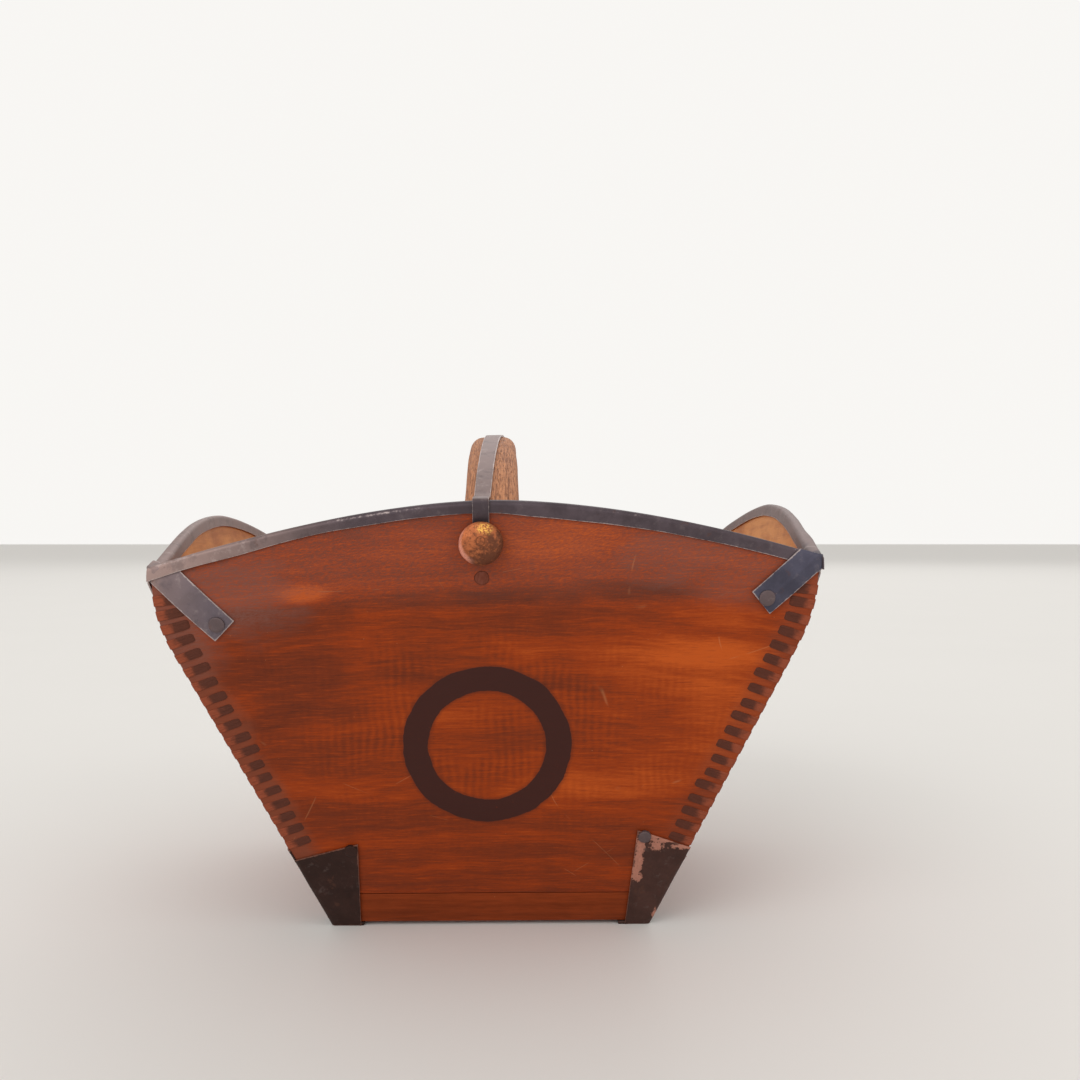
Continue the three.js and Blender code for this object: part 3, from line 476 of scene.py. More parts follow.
def sheet(name, columns, rows, place, metres, worn=None):
    """A grid laid along a surface.

    For shares u and v of the grid, place gives the point, metres its place in the pattern, worn its wear."""
    add_grid = bpy.ops.mesh.primitive_grid_add
    piece = primitive(name, add_grid, x_subdivisions=columns, y_subdivisions=rows, size=1, calc_uvs=True)
    mesh = piece.data
    shares = [(v.co.x + 0.5, v.co.y + 0.5) for v in mesh.vertices]
    for vertex, (u, v) in zip(mesh.vertices, shares):
        vertex.co = place(u, v)
    layer = mesh.uv_layers.active
    layer.name = "pattern"
    for loop in mesh.loops:
        layer.data[loop.index].uv = metres(*shares[loop.vertex_index])
    if worn:
        store_wear(piece, [worn(u, v) for u, v in shares])
    mesh.update()
    return piece


def border_wear(wide, high, reach, borders):
    """Wear along borders of a sheet, each named u0, u1, v0 or v1."""

    def worn(u, v):
        distances = {"u0": u * wide, "u1": (1 - u) * wide, "v0": v * high, "v1": (1 - v) * high}
        return max(0.0, 1 - min(distances[border] for border in borders) / reach)

    return worn


def apply_modifier(piece, kind, **options):
    make_active(piece)
    modifier = piece.modifiers.new(kind.title(), kind)
    for key, value in options.items():
        setattr(modifier, key, value)
    bpy.ops.object.modifier_apply(modifier=modifier.name)


def thicken(piece, thickness, offset, inner_slot=0):
    """Gives a sheet its thickness. An offset of -1 grows it behind its faces, 0 to both sides."""
    options = {"thickness": thickness, "offset": offset, "material_offset": inner_slot}
    apply_modifier(piece, "SOLIDIFY", use_even_offset=False, **options)


def soften(piece, width, segments=2, angle=40):
    apply_modifier(
        piece,
        "BEVEL",
        width=width,
        segments=segments,
        limit_method="ANGLE",
        angle_limit=math.radians(angle),
        use_clamp_overlap=True,
    )


def smooth(piece, angle=40):
    make_active(piece)
    bpy.ops.object.shade_smooth_by_angle(angle=math.radians(angle))


def outward(piece):
    """Closes a piece's seams and points its faces outwards."""
    edit(piece, "VERT", "SELECT")
    bpy.ops.mesh.remove_doubles(threshold=SEAM_GAP)
    bpy.ops.mesh.normals_make_consistent(inside=False)
    end_edit()


def sheet_metal(piece, thickness, edge):
    """Turns a sheet into thin metal, to both sides, with slightly rounded edges."""
    thicken(piece, thickness, 0.0)
    outward(piece)
    soften(piece, edge)


def joined(name, pieces):
    """Joins pieces that are made of the same iron into one."""
    deselect()
    for piece in pieces:
        piece.select_set(True)
    bpy.context.view_layer.objects.active = pieces[0]
    bpy.ops.object.join()
    return named(name)


def dress(piece, materials, slot, *nodes):
    """Gives a piece its materials, rides it on the root, and hides the model's parts that it stands for."""
    for material in materials:
        piece.data.materials.append(material)
    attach(piece, "root")
    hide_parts(*nodes)


def wobble(point, size, strength, seed=0.0):
    """A small smooth random push along each axis, for unevenness of a size and a strength."""
    return noise.noise_vector(point / size + Vector((seed, seed * 1.7, seed * 0.3))) * strength


# Shader maths as expressions

SCRATCH_RUNS = ((0.35, 13.0), (-0.6, 17.0), (0.9, 11.0))  # each direction and its cells to the metre


class Value:
    """A number's socket that Python operators act on."""

    def __init__(self, nodes, socket):
        self.nodes = nodes
        self.socket = socket

    def output(self, name):
        """Another output of the same node."""
        return Value(self.nodes, self.socket.node.outputs[name])

    def math(self, operation, *terms):
        return self.nodes.node("ShaderNodeMath", {"operation": operation}, dict(enumerate(terms)))

    def __add__(self, other):
        return self.math("ADD", self, other)

    __radd__ = __add__

    def __mul__(self, other):
        return self.math("MULTIPLY", self, other)

    __rmul__ = __mul__

    def __sub__(self, other):
        return self.math("SUBTRACT", self, other)

    def __rsub__(self, other):
        return self.math("SUBTRACT", other, self)

    def __truediv__(self, other):
        return self.math("DIVIDE", self, other)

    def __pow__(self, other):
        return self.math("POWER", self, other)

    def __neg__(self):
        return self.math("MULTIPLY", self, -1.0)

    def maximum(self, other):
        return self.math("MAXIMUM", self, other)

    def absolute(self):
        return self.math("ABSOLUTE", self)

    def sine(self):
        return self.math("SINE", self)

    def step(self, low, high):
        """Eases from 0 at low to 1 at high."""
        return self.nodes.node(
            "ShaderNodeMapRange",
            {"interpolation_type": "SMOOTHSTEP"},
            {"Value": self, "From Min": low, "From Max": high},
        )


class Nodes:
    """A node tree, and the nodes that the finishes are made of."""

    def __init__(self, tree):
        self.tree = tree
        tree.nodes.clear()

    def node(self, kind, settings=None, inputs=None, out=0):
        """Adds a node: its settings or a ramp's stops first, then the values or links of its sockets."""
        node = self.tree.nodes.new(kind)
        for key, value in (settings or {}).items():
            if key == "stops":
                elements = node.color_ramp.elements
                while len(elements) < len(value):
                    elements.new(1.0)
                for element, (position, tone) in zip(elements, value):
                    element.position = position
                    element.color = (*tone, 1.0)
            else:
                setattr(node, key, value)
        for key, value in (inputs or {}).items():
            if isinstance(value, Value):
                self.tree.links.new(value.socket, node.inputs[key])
            else:
                node.inputs[key].default_value = value
        return Value(self, node.outputs[out]) if node.outputs else None

    def pattern(self):
        """The piece's pattern coordinates, in metres."""
        return self.node("ShaderNodeUVMap", {"uv_map": "pattern"})

    def place(self):
        return self.node("ShaderNodeTexCoord", out="Object")

    def wear(self):
        return self.node("ShaderNodeAttribute", {"attribute_name": "wear"}, out="Fac")

    def parts(self, vector):
        x = self.node("ShaderNodeSeparateXYZ", inputs={0: vector})
        return x, x.output("Y"), x.output("Z")

    def vector(self, x, y, z):
        return self.node("ShaderNodeCombineXYZ", inputs={0: x, 1: y, 2: z})

    def noise(self, vector, scale=1.0, detail=4.0, roughness=0.55):
        inputs = {"Vector": vector, "Scale": scale, "Detail": detail, "Roughness": roughness}
        return self.node("ShaderNodeTexNoise", {"noise_dimensions": "3D"}, inputs)

    def grain(self, u, v, seed, along, across, detail=4.0, roughness=0.55):
        """Noise drawn out along u, with so many cells to the metre along it and across it."""
        return self.noise(self.vector(u * along, v * across, seed), 1.0, detail, roughness)

    def ramp(self, factor, *stops):
        return self.node("ShaderNodeValToRGB", {"stops": stops}, {0: factor})

    def mix(self, factor, a, b):
        """Mixes two colours, each a tuple or a socket."""
        a, b = [(*value, 1.0) if isinstance(value, tuple) else value for value in (a, b)]
        return self.node("ShaderNodeMix", {"data_type": "RGBA"}, {0: factor, 6: a, 7: b}, out=2)

    def spot(self, x, z, middle, size, ragged, soft=0.55):
        """A soft blot: 1 at its middle and 0 past its size, with an edge that ragged pushes in and out."""
        across = (x - middle[0]) / size[0]
        up = (z - middle[1]) / size[1]
        return ((across * across + up * up) ** 0.5 + (ragged - 0.5) * 1.6).step(1.0 + soft, 1.0 - soft)

    def scratches(self, x, y, seed, amount, thin=0.0035):
        """A few long, thin, slightly curved scratches, broken up and in several directions."""
        marks = None
        for index, (turn, scale) in enumerate(SCRATCH_RUNS):
            along = x * math.cos(turn) + y * math.sin(turn)
            across = y * math.cos(turn) - x * math.sin(turn)
            line = self.noise(self.vector(along * 0.35, across, seed + index), scale, 0.0)
            gate = self.noise(self.vector(x, y, seed + 10 + index), 30.0, 2.0)
            mark = (line - 0.5).absolute().step(thin, 0.0) * gate.step(0.68 - amount, 0.74 - amount)
            marks = marks.maximum(mark) if marks else mark
        return marks


class Finish(Nodes):
    """Builds one procedural material around a Principled shader."""

    def __init__(self, name):
        self.material = bpy.data.materials.new(name)
        self.material.use_nodes = True
        super().__init__(self.material.node_tree)
        shader = self.node("ShaderNodeBsdfPrincipled")
        self.sockets = shader.socket.node.inputs
        self.node("ShaderNodeOutputMaterial", inputs={"Surface": shader})

    def bumped(self, height, distance, strength=0.4):
        inputs = {"Height": height, "Strength": strength, "Distance": distance}
        return self.node("ShaderNodeBump", inputs=inputs)

    def feed(self, **inputs):
        """Feeds the shader's sockets, named with underscores for spaces, and gives the material."""
        for key, value in inputs.items():
            socket = self.sockets[key.replace("_", " ")]
            if isinstance(value, Value):
                self.tree.links.new(value.socket, socket)
            else:
                socket.default_value = value
        return self.material


# Finishes

GRAIN_ARCH = 0.55  # how far the boards' grain rises to the sides
SEAM = 88 * MM  # height of the glue line below which the boards are duller

# Places of darker and lighter wood on the front, in millimetres.
# Each is its middle's x and z, its half width and half height, and how much darker or lighter it is.
FRONT_TONES = (
    (-106, 203, 44, 8, -0.10),
    (-123, 169, 40, 30, -0.09),
    (-95, 125, 46, 34, -0.05),
    (-102, 215, 12, 5, 0.20),
    (-36, 241, 27, 11, 0.06),
    (32, 242, 33, 12, 0.08),
    (51, 214, 58, 5.5, -0.12),
    (-31, 211, 50, 5, -0.10),
    (40, 198, 58, 9, -0.08),
    (-30, 178, 34, 14, -0.05),
    (108, 198, 55, 5, 0.05),
    (140, 187, 24, 4, -0.06),
    (140, 160, 26, 44, 0.07),
    (120, 178, 38, 8, 0.17),
    (110, 145, 46, 30, 0.06),
    (77, 97, 58, 8, 0.13),
    (-65, 96, 48, 8, 0.03),
)

# Places of dulled shellac with a painted sheen, in the same way, with how strong they are.
FRONT_HAZE_AND_SHEEN = (
    (-148, 219, 46, 24, 0.95),
    (-168, 200, 20, 30, 0.8),
    (104, 233, 46, 16, 0.8),
    (142, 221, 30, 16, 0.75),
)
SIDE_HAZE_AND_SHEEN = ((-150, 225, 40, 24, 0.7), (120, 232, 45, 18, 0.5))
UPPER_WOOD = (200 * MM, 228 * MM)  # between these heights the open grain and the painted sheen near the rim begin
RIPPLE_MIDDLE = (0, 128 * MM)
RIPPLE_SIZE = (125 * MM, 62 * MM)
RIPPLE_PITCH = 4.7 * MM
WOOD_SHEEN = 0.09
DRY_SHEEN = 0.15
METAL_SHEEN = 0.2
RING_MIDDLE = (-1 * MM, 122.5 * MM)
RING_RADIUS = 42 * MM
RING_HALF_STROKE = 7.5 * MM
RING_HALO = 2.5 * MM
RING_STRUCK = 2.4 * MM  # radius of the ring struck in a nail's middle
# colour of the painted highlight along the nail's left rim
NAIL_PAINTED_RIM_HIGHLIGHT = (0.95, 0.42, 0.30)
NAIL_SPOT = (2.2 * MM, 6.8 * MM)
NAIL_SPOT_SIZE = (4.0 * MM, 2.7 * MM)


def shade(tone, share):
    """A colour made darker or lighter by a share."""
    return tuple(share * part for part in tone)


def stained_wood(name, plan, seed, is_front):
    """Thin stained board under shellac, with long grain, rippled figure, dulled shellac under a painted
    sheen near the rim, and scratches.
    """
    c = plan.colours
    f = Finish(name)
    u, v, _ = f.parts(f.pattern())
    at = f.vector(u, v, seed)
    sway = f.noise(at, 15.0, 2.0) - 0.5
    ragged = f.noise(f.vector(u, v * 2.6, seed + 1), 26.0, 5.0, 0.65)
    level = v + u * u * GRAIN_ARCH + sway * 0.012
    broad = f.grain(u, level, seed, 7.0, 52.0, 3.0)
    narrow = f.grain(u, level, seed + 3, 17.0, 300.0, 5.0, 0.65)
    strands = f.grain(u, v + sway * 0.004, seed + 5, 60.0, 950.0, 4.0, 0.65)
    pores = f.grain(u, v, seed + 6, 75.0, 1500.0, 2.0, 0.5).step(0.60, 0.72)
    cloud = f.noise(at, 34.0, 5.0, 0.6)
    tone = broad * 0.34 + narrow * 0.24 + strands * 0.30 + cloud * 0.12
    upper = v.step(*UPPER_WOOD)
    flecks = f.grain(u, v - u * 0.2, seed + 7, 380.0, 1250.0, 4.0, 0.7)
    tone = tone + (flecks - 0.5) * (upper * 0.60 + 0.14)
    low = (v + sway * 0.008).step(SEAM + 1.5 * MM, SEAM - 1.5 * MM)
    tone = tone - low * 0.045
    drift = f.grain(u, v, seed + 8, 30.0, 40.0, 3.0)
    patchy = f.grain(u, v, seed + 9, 30.0, 34.0, 3.0).step(0.38, 0.66)
    ripple = (u * (math.tau / RIPPLE_PITCH) + drift * 10.0).sine() * patchy
    tone = tone + ripple * f.spot(u, v, RIPPLE_MIDDLE, RIPPLE_SIZE, ragged) * (1 - low * 0.5) * 0.034

    def blots(places):
        for x, z, wide, high, strength in places:
            yield f.spot(u, v, (x * MM, z * MM), (wide * MM, high * MM), ragged) * strength

    if is_front:
        for blot in blots(FRONT_TONES):
            tone = tone + blot
    base = f.ramp(tone, (0.30, c.stain_dark), (0.42, c.stain_brown), (0.53, c.stain), (0.74, c.stain_light))
    base = f.mix(pores * 0.30, base, c.stain_dark)
    base = f.mix(strands.step(0.56, 0.78) * (upper * 0.2 + 0.25), base, c.stain_light)
    # Painted sheen with dulled shellac: the band near the rim and the listed places are greyed and made
    # rougher.
    haze = upper * 0.50
    for blot in blots(FRONT_HAZE_AND_SHEEN if is_front else SIDE_HAZE_AND_SHEEN):
        haze = haze.maximum(blot)
    haze = haze * ((1 - flecks) * 1.2 + (1 - strands) * 0.5 + (1 - cloud) * 0.5).step(0.50, 1.55)
    gathered = (f.wear() + (cloud - 0.5) * 0.9).step(0.10, 0.62) * ((-u).step(-0.05, 0.05) * 0.5 + 0.34)
    base = f.mix(gathered, base, c.edge)
    base = f.mix(haze, base, c.haze)
    scratch = f.scratches(u, v, seed + 20, 0.09, 0.0026)
    base = f.mix(scratch * 0.22, base, c.rubbed)
    dust = f.noise(at, 700.0, 2.0, 0.5).step(0.76, 0.80)
    base = f.mix(dust * 0.45, base, c.rubbed)
    rough = 0.42 + haze * 0.14 + strands * 0.10
    height = strands * 0.5 + flecks * (upper * 0.9 + 0.15) + narrow * 0.25 - scratch * 0.6 - pores * 0.3
    if is_front:
        # A plain ring, brushed on thickly.
        across, up = u - RING_MIDDLE[0], v - RING_MIDDLE[1]
        brush = f.noise(f.vector(u, v, 40.0), 60.0, 4.0, 0.6) - 0.5
        radius = (across * across + up * up) ** 0.5
        inside = RING_HALF_STROKE - (radius - RING_RADIUS).absolute() + brush * 3.4 * MM
        painted = inside.step(-0.25 * MM, 0.35 * MM)
        worn_off = f.noise(f.vector(u, v, 50.0), 330.0, 4.0, 0.7).step(0.64, 0.74)
        halo = inside.step(-RING_HALO, 0.0) * 0.45
        base = f.mix(halo, base, c.stain_dark)
        base = f.mix(painted * (0.97 - worn_off * 0.40), base, c.paint)
        height = height + painted * 0.9
    relief = f.bumped(height, 0.35 * MM)
    return f.feed(Base_Color=base, Roughness=rough, Normal=relief, Specular_IOR_Level=WOOD_SHEEN)


def inner_wood(name, plan):
    """Unstained board inside the measure, dry and smudged."""
    c = plan.colours
    f = Finish(name)
    u, v, _ = f.parts(f.pattern())
    sway = f.noise(f.vector(u, v, 1.0), 9.0, 2.0) - 0.5
    x, y, _ = f.parts(f.place())
    bands = f.grain(u, v + sway * 0.02, (x - y) * 9.0, 9.0, 110.0, 4.0, 0.6)
    fibres = f.grain(u, v, 62.0, 70.0, 1200.0, 3.0, 0.6)
    smudges = f.noise(f.place(), 22.0, 5.0, 0.6)
    base = f.mix((bands * 0.5 + smudges * 0.5).step(0.34, 0.60), c.inner_dark, c.inner)
    base = f.mix(fibres.step(0.5, 0.8) * 0.35, base, c.inner_dark)
    relief = f.bumped(fibres + bands * 0.3, 0.35 * MM)
    return f.feed(Base_Color=base, Roughness=0.6, Normal=relief, Specular_IOR_Level=DRY_SHEEN)


def block_wood(name, plan, light, dark, along):
    """Solid stained wood with its grain along an axis of the piece, x or z, darker where wear says so."""
    f = Finish(name)
    x, y, z = f.parts(f.place())
    run, side, other = {"x": (x, y, z), "z": (z, x, y)}[along]
    bands = f.grain(run, side, other * 190.0, 12.0, 190.0, 4.0, 0.6)
    fibres = f.grain(run, side, other * 1100.0, 70.0, 1100.0, 4.0, 0.65)
    grime = f.noise(f.place(), 34.0, 5.0, 0.65)
    base = f.mix((bands * 0.45 + fibres * 0.3 + grime * 0.25).step(0.36, 0.64), dark, light)
    pale = f.noise(f.place(), 420.0, 2.0).step(0.74, 0.80)
    base = f.mix(pale * 0.35, base, plan.colours.rubbed)
    base = f.mix(f.wear().step(0.84, 0.96) * 0.7, base, shade(plan.colours.stain_dark, 0.5))
    rough = 0.46 + grime * 0.1
    relief = f.bumped(fibres, 0.3 * MM)
    return f.feed(Base_Color=base, Roughness=rough, Normal=relief, Specular_IOR_Level=WOOD_SHEEN)


def bow_wood(name, plan):
    """Dry, handled wood with fine streaks and open pores along the bow."""
    c = plan.colours
    f = Finish(name)
    u, v, _ = f.parts(f.pattern())
    sway = f.grain(u, v, 1.0, 9.0, 30.0, 2.0) - 0.5
    across = v + sway * 0.004
    bands = f.grain(u, across, 5.0, 6.0, 210.0, 4.0, 0.6)
    streaks = f.grain(u, across, 6.0, 80.0, 1150.0, 5.0, 0.7)
    pores = f.grain(u, across, 7.0, 130.0, 1300.0, 3.0, 0.6).step(0.54, 0.66)
    grime = f.noise(f.vector(u, v, 8.0), 40.0, 5.0, 0.65)
    base = f.mix((bands * 0.30 + streaks * 0.70).step(0.32, 0.60), c.bow_dark, c.bow)
    base = f.mix(pores * 0.65, base, shade(c.bow_dark, 0.6))
    base = f.mix(grime.step(0.50, 0.72) * 0.35, base, c.bow_dark)
    relief = f.bumped(streaks * 0.7 - pores, 0.6 * MM, 0.7)
    return f.feed(Base_Color=base, Roughness=0.62, Normal=relief, Specular_IOR_Level=DRY_SHEEN)


def bark(name, plan):
    """Split bark strip, dark, with lengthwise fibres and rubbed ridges where it turns the corner."""
    c = plan.colours
    f = Finish(name)
    u, v, _ = f.parts(f.pattern())
    fibres = f.grain(u, v, 71.0, 110.0, 1100.0, 4.0, 0.65)
    patches = f.noise(f.vector(u, v, 72.0), 140.0, 5.0, 0.65)
    rubbed = (f.wear() + (patches - 0.5) * 1.5).step(0.10, 0.75)
    base = f.mix(rubbed, c.bark, c.bark_light)
    base = f.mix(fibres.step(0.46, 0.72) * 0.5, base, shade(c.bark, 0.55))
    rough = 0.5 + fibres * 0.2
    relief = f.bumped(fibres + patches, 0.6 * MM, 0.9)
    return f.feed(Base_Color=base, Roughness=rough, Normal=relief, Specular_IOR_Level=0.12)


def sheet_iron(name, plan, tone, edge, seed, clean, metallic=0.5, spots=()):
    """Thin sheet iron, blotched, scuffed, scratched and rubbed light along its edges, with painted
    highlights where the wear marks a fold or a rivet's rim.

    It is lighter by the share that clean gives for x, y and z, where it is rubbed clean and where light is
    painted on, and spots are bare places of the front."""
    c = plan.colours
    f = Finish(name)
    place = f.place()
    x, y, z = f.parts(place)
    blotch = f.noise(place, 46.0, 6.0, 0.66)
    fine = f.noise(place, 520.0, 4.0, 0.65)
    base = f.mix(blotch.step(0.36, 0.66), shade(tone, 0.68), tone)
    share = clean(x, y, z)
    base = f.mix(share * (0.55 + blotch * 0.7), base, c.iron_light)
    scuffs = f.noise(f.vector(x, y, z + seed), 150.0, 6.0, 0.7).step(0.54, 0.74)
    base = f.mix(scuffs * (0.10 + share * 0.45), base, c.iron_edge)
    stains = f.noise(f.vector(x, y, z - seed), 60.0, 6.0, 0.7).step(0.52, 0.66)
    base = f.mix(stains * 0.35, base, shade(tone, 0.5))
    rusted = f.noise(f.vector(x, y, z + seed), 110.0, 5.0, 0.7).step(0.60, 0.70)
    base = f.mix(rusted * 0.30, base, c.rust)
    marks = f.scratches(x + y, z, seed, 0.08, 0.006)
    base = f.mix(marks * 0.25, base, edge)
    # Worn edges, and the painted highlights that the wear marks along the rim strips' outer fold and around
    # the rivets' rims.
    ragged = (f.wear() + (fine - 0.5) * 1.1 + (blotch - 0.5) * 1.3).step(0.52, 0.98)
    base = f.mix(ragged * 0.75, base, edge)
    bare = None
    for middle, size in spots:
        middle, size = ([number * MM for number in pair] for pair in (middle, size))
        spot = f.spot(x, z, middle, size, fine * 1.7 - 0.30 + scuffs * 0.2, 0.15) * (-y).step(*SPOTS_FRONT)
        bare = bare.maximum(spot) if bare else spot
    if bare:
        base = f.mix(bare * (0.45 + fine * 0.8), base, c.shoe_worn)
        metallic = metallic * (1 - bare * 0.8)
    rough = 0.42 + blotch * 0.18 - ragged * 0.10 + rusted * 0.15
    relief = f.bumped(fine * 0.4 + blotch * 0.8 - marks * 0.3, 0.35 * MM)
    return f.feed(
        Base_Color=base, Metallic=metallic, Roughness=rough, Normal=relief, Specular_IOR_Level=METAL_SHEEN
    )


def old_copper(name, plan):
    """Tarnished copper nail head, pitted, with a yellow rubbed spot, a ring struck in its middle, and
    painted light: lighter towards its upper left, with a painted highlight along its left rim.
    """
    c = plan.colours
    f = Finish(name)
    place = f.place()
    x, _, z = f.parts(place)
    mottle = f.noise(place, 330.0, 6.0, 0.72)
    pits = f.noise(place, 900.0, 4.0, 0.7)
    across = x - plan.side_x(1, plan.nail_height)
    up = z - plan.nail_height
    radius = (across * across + up * up) ** 0.5
    head = plan.iron.nail_radius
    # Painted light: the head is lighter towards its upper left, where the light falls, and darker towards
    # its lower right.
    painted_light = (up * 0.75 - across * 0.65) / head
    base = f.mix((mottle + painted_light * 0.16).step(0.36, 0.62), c.copper_dark, c.copper)
    base = f.mix((painted_light + (mottle - 0.5) * 1.4).step(0.35, 0.95) * 0.8, base, shade(c.copper, 1.5))
    # A painted highlight along the left part of the head's rim.
    rim = (radius / head).step(0.80, 0.95) * (-across / head).step(0.20, 0.75)
    base = f.mix(rim * 0.85, base, NAIL_PAINTED_RIM_HIGHLIGHT)
    yellow = f.spot(across, up, NAIL_SPOT, NAIL_SPOT_SIZE, mottle, 0.5) * pits.step(0.56, 0.44)
    base = f.mix(yellow * 0.95, base, c.brass)
    base = f.mix(pits.step(0.54, 0.68) * 0.55, base, shade(c.copper_dark, 0.5))
    ring = (radius - RING_STRUCK).absolute().step(0.55 * MM, 0.15 * MM) * mottle.step(0.30, 0.55)
    base = f.mix(ring * 0.55, base, shade(c.copper_dark, 0.5))
    rough = 0.36 + pits * 0.25
    relief = f.bumped(pits + mottle, 0.45 * MM, 0.8)
    return f.feed(
        Base_Color=base, Metallic=0.45, Roughness=rough, Normal=relief, Specular_IOR_Level=METAL_SHEEN
    )


def plain_floor(name, plan):
    """A plain pale surface."""
    f = Finish(name)
    cloud = f.noise(f.place(), 3.0, 3.0)
    base = f.mix(cloud, plan.colours.floor, shade(plan.colours.floor, 0.98))
    return f.feed(Base_Color=base, Roughness=0.75, Specular_IOR_Level=0.2)


def finish(name, maker, plan, *arguments):
    """Makes a finish once and finds it again later."""
    full_name = f"measure_{name}"
    return bpy.data.materials.get(full_name) or maker(full_name, plan, *arguments)


# Where the iron changes, to the front, the left or the right: from the first distance to the second. Besides
# being rubbed, the iron is painted lighter to the left, where the key lamp lights it, and on the right
# wall's strip.
FRONT_STRIP = (176 * MM, 180 * MM)
LEFT_STRIP = (60 * MM, 175 * MM)
RIGHT_STRIP = (178 * MM, 186 * MM)
LEFT_TABS = ((0, 50 * MM, 0.25), (145 * MM, 180 * MM, 0.30), (177 * MM, 184 * MM, 0.35))  # and by how much
SPOTS_FRONT = (100.5 * MM, 102 * MM)
TAB_TINT = (0.88, 1.12, 1.40)  # the tabs are bluer than the strips


def rim_iron(plan):
    """Iron of the strips and of the tabs, both lighter to the left: rubbed, and painted light on the side
    the key lamp lights.
    """
    c = plan.colours

    def rubbed_and_lit_strip(x, y, z):
        front = (-y).step(*FRONT_STRIP)
        left = (-x).step(*LEFT_STRIP) * (front * 0.25 + 0.75)
        return left.maximum(x.step(*RIGHT_STRIP) * (1 - front) * 0.5)

    def rubbed_and_lit_tab(x, y, z):
        return sum((-x).step(start, end) * share for start, end, share in LEFT_TABS)

    bluish = tuple(share * part for share, part in zip(TAB_TINT, c.iron))
    return (
        finish("rim_iron", sheet_iron, plan, c.iron, c.iron_edge, 81.0, rubbed_and_lit_strip),
        finish("tab_iron", sheet_iron, plan, bluish, c.iron_edge, 84.0, rubbed_and_lit_tab),
    )


def shoe_iron(plan, name="shoe_iron", lighter=1.0, spots=()):
    """Nearly black iron of the shoes, with bare spots on the worn one."""
    c = plan.colours
    tone, edge = shade(c.shoe, lighter), shade(c.shoe_worn, 0.55)
    return finish(name, sheet_iron, plan, tone, edge, 82.0, lambda x, y, z: 0.0, 0.35, spots)


# Walls

EDGE_STAIN = 26 * MM  # how far from a laced edge the stain has gathered
MITRE_GAP = 0.3 * MM
WALL_GRID = (120, 90)
WALL_UNEVEN = (50 * MM, 0.25 * MM)  # size and strength, here and in the same names below


class MEASURE_OT_walls(bpy.types.Operator):
    """Makes the four thin laced boards"""

    bl_idname = "measure.walls"
    bl_label = "Walls"

    def execute(self, context):
        plan = Plan(context.scene)
        bottom = plan.body.base_edge_top + plan.iron.clear

        def height(u, v):
            return bottom + v * (plan.rim_height(2 * u - 1) - bottom)

        for quarters, side in enumerate(SIDES):

            def place(u, v):
                z = height(u, v)
                x = (2 * u - 1) * (plan.mitre(z, 0.0) - MITRE_GAP)
                push = wobble(Vector((x, quarters * 3.0, z)), *WALL_UNEVEN).y
                return plan.placed(plan.wall_point(x, z, push), quarters)

            def metres(u, v):
                z = height(u, v)
                return (2 * u - 1) * plan.corner_half(z), z

            def worn(u, v):
                return max(0.0, 1 - min(u, 1 - u) * 2 * plan.corner_half(height(u, v)) / EDGE_STAIN)

            piece = sheet(f"{side}_board", *WALL_GRID, place, metres, worn)
            outer = finish(f"{side}_stained_wood", stained_wood, plan, 2.0 + 7.0 * quarters, quarters == 0)
            dress(piece, [outer, finish("inner_wood", inner_wood, plan)], "stained_wood", f"{side}_wall")
            thicken(piece, plan.body.wall, -1.0, inner_slot=1)
            soften(piece, 0.5 * MM)
            smooth(piece)
        return {"FINISHED"}


# Base

PLUG_EASE = 0.6 * MM  # how much the plug's top stays clear of the walls


class MEASURE_OT_base(bpy.types.Operator):
    """Makes the thick base board with its plug"""

    bl_idname = "measure.base"
    bl_label = "Base board"

    def execute(self, context):
        plan = Plan(context.scene)
        body = plan.body
        base = primitive("base_block", bpy.ops.mesh.primitive_cube_add, size=1)
        top = body.base_edge_top
        for vertex in base.data.vertices:
            z = top if vertex.co.z > 0 else body.base_bottom
            x, y = (math.copysign(plan.corner_half(z), side) for side in vertex.co.xy)
            vertex.co = plan.placed(Vector((x, y, z)), 0)
        edit_top(base)
        inner = plan.corner_half(top) - (body.wall + plan.iron.clear) * math.hypot(1, body.flare)
        bpy.ops.mesh.inset(thickness=plan.corner_half(top) - inner, depth=0)
        rise = body.base_plug_top - top
        bpy.ops.mesh.extrude_region_move(TRANSFORM_OT_translate={"value": (0, 0, rise)})
        grow = (inner + rise * body.flare - PLUG_EASE) / inner
        bpy.ops.transform.resize(value=(grow, grow, 1))
        end_edit()
        outward(base)
        soften(base, 0.8 * MM, 3)
        smooth(base)
        c = plan.colours
        wood = finish("base_wood", block_wood, plan, c.base, shade(c.base, 0.6), "x")
        dress(base, [wood], "base_wood", "base_board")
        return {"FINISHED"}


# Rim strips

TAB_PAST = 9 * MM  # how far a tab runs on past the corner, where its strip covers it
TAB_CROWN = 0.25 * MM
CREASE = 0.35 * MM  # height of the crease along an upper tab
LAP_REACH = 30 * MM  # how far from the corner a strip is lifted over the tab beneath
LAP_EASE = 26 * MM
FRONT_NARROWS = (-150 * MM, -85 * MM)  # between these the front strip gets narrower
FRONT_WIDENS = (4 * MM, 30 * MM)
TAB_GRID = (60, 20)
TAB_DENTS = (12 * MM, 0.2 * MM)
CREASE_PLACE = 0.42  # share of the tab's width
CREASE_WIDTH = 0.07
CHANNEL_COLUMNS = 150
CHANNEL_DENTS = (20 * MM, 0.22 * MM)
FLANGE_UNEVEN = (60 * MM, 1.2 * MM)
FLANGE_RAGGED = (30 * MM, 0.5 * MM)

# Rows of the folded section: up the outer side, over a fold, across the top, over a fold, down the inside.
SIDE_ROWS, FOLD_ROWS, TOP_ROWS, INNER_ROWS = 8, 6, 3, 7
CHANNEL_ROWS = SIDE_ROWS + FOLD_ROWS + TOP_ROWS + FOLD_ROWS + INNER_ROWS
CHANNEL_GIRTH = 21 * MM


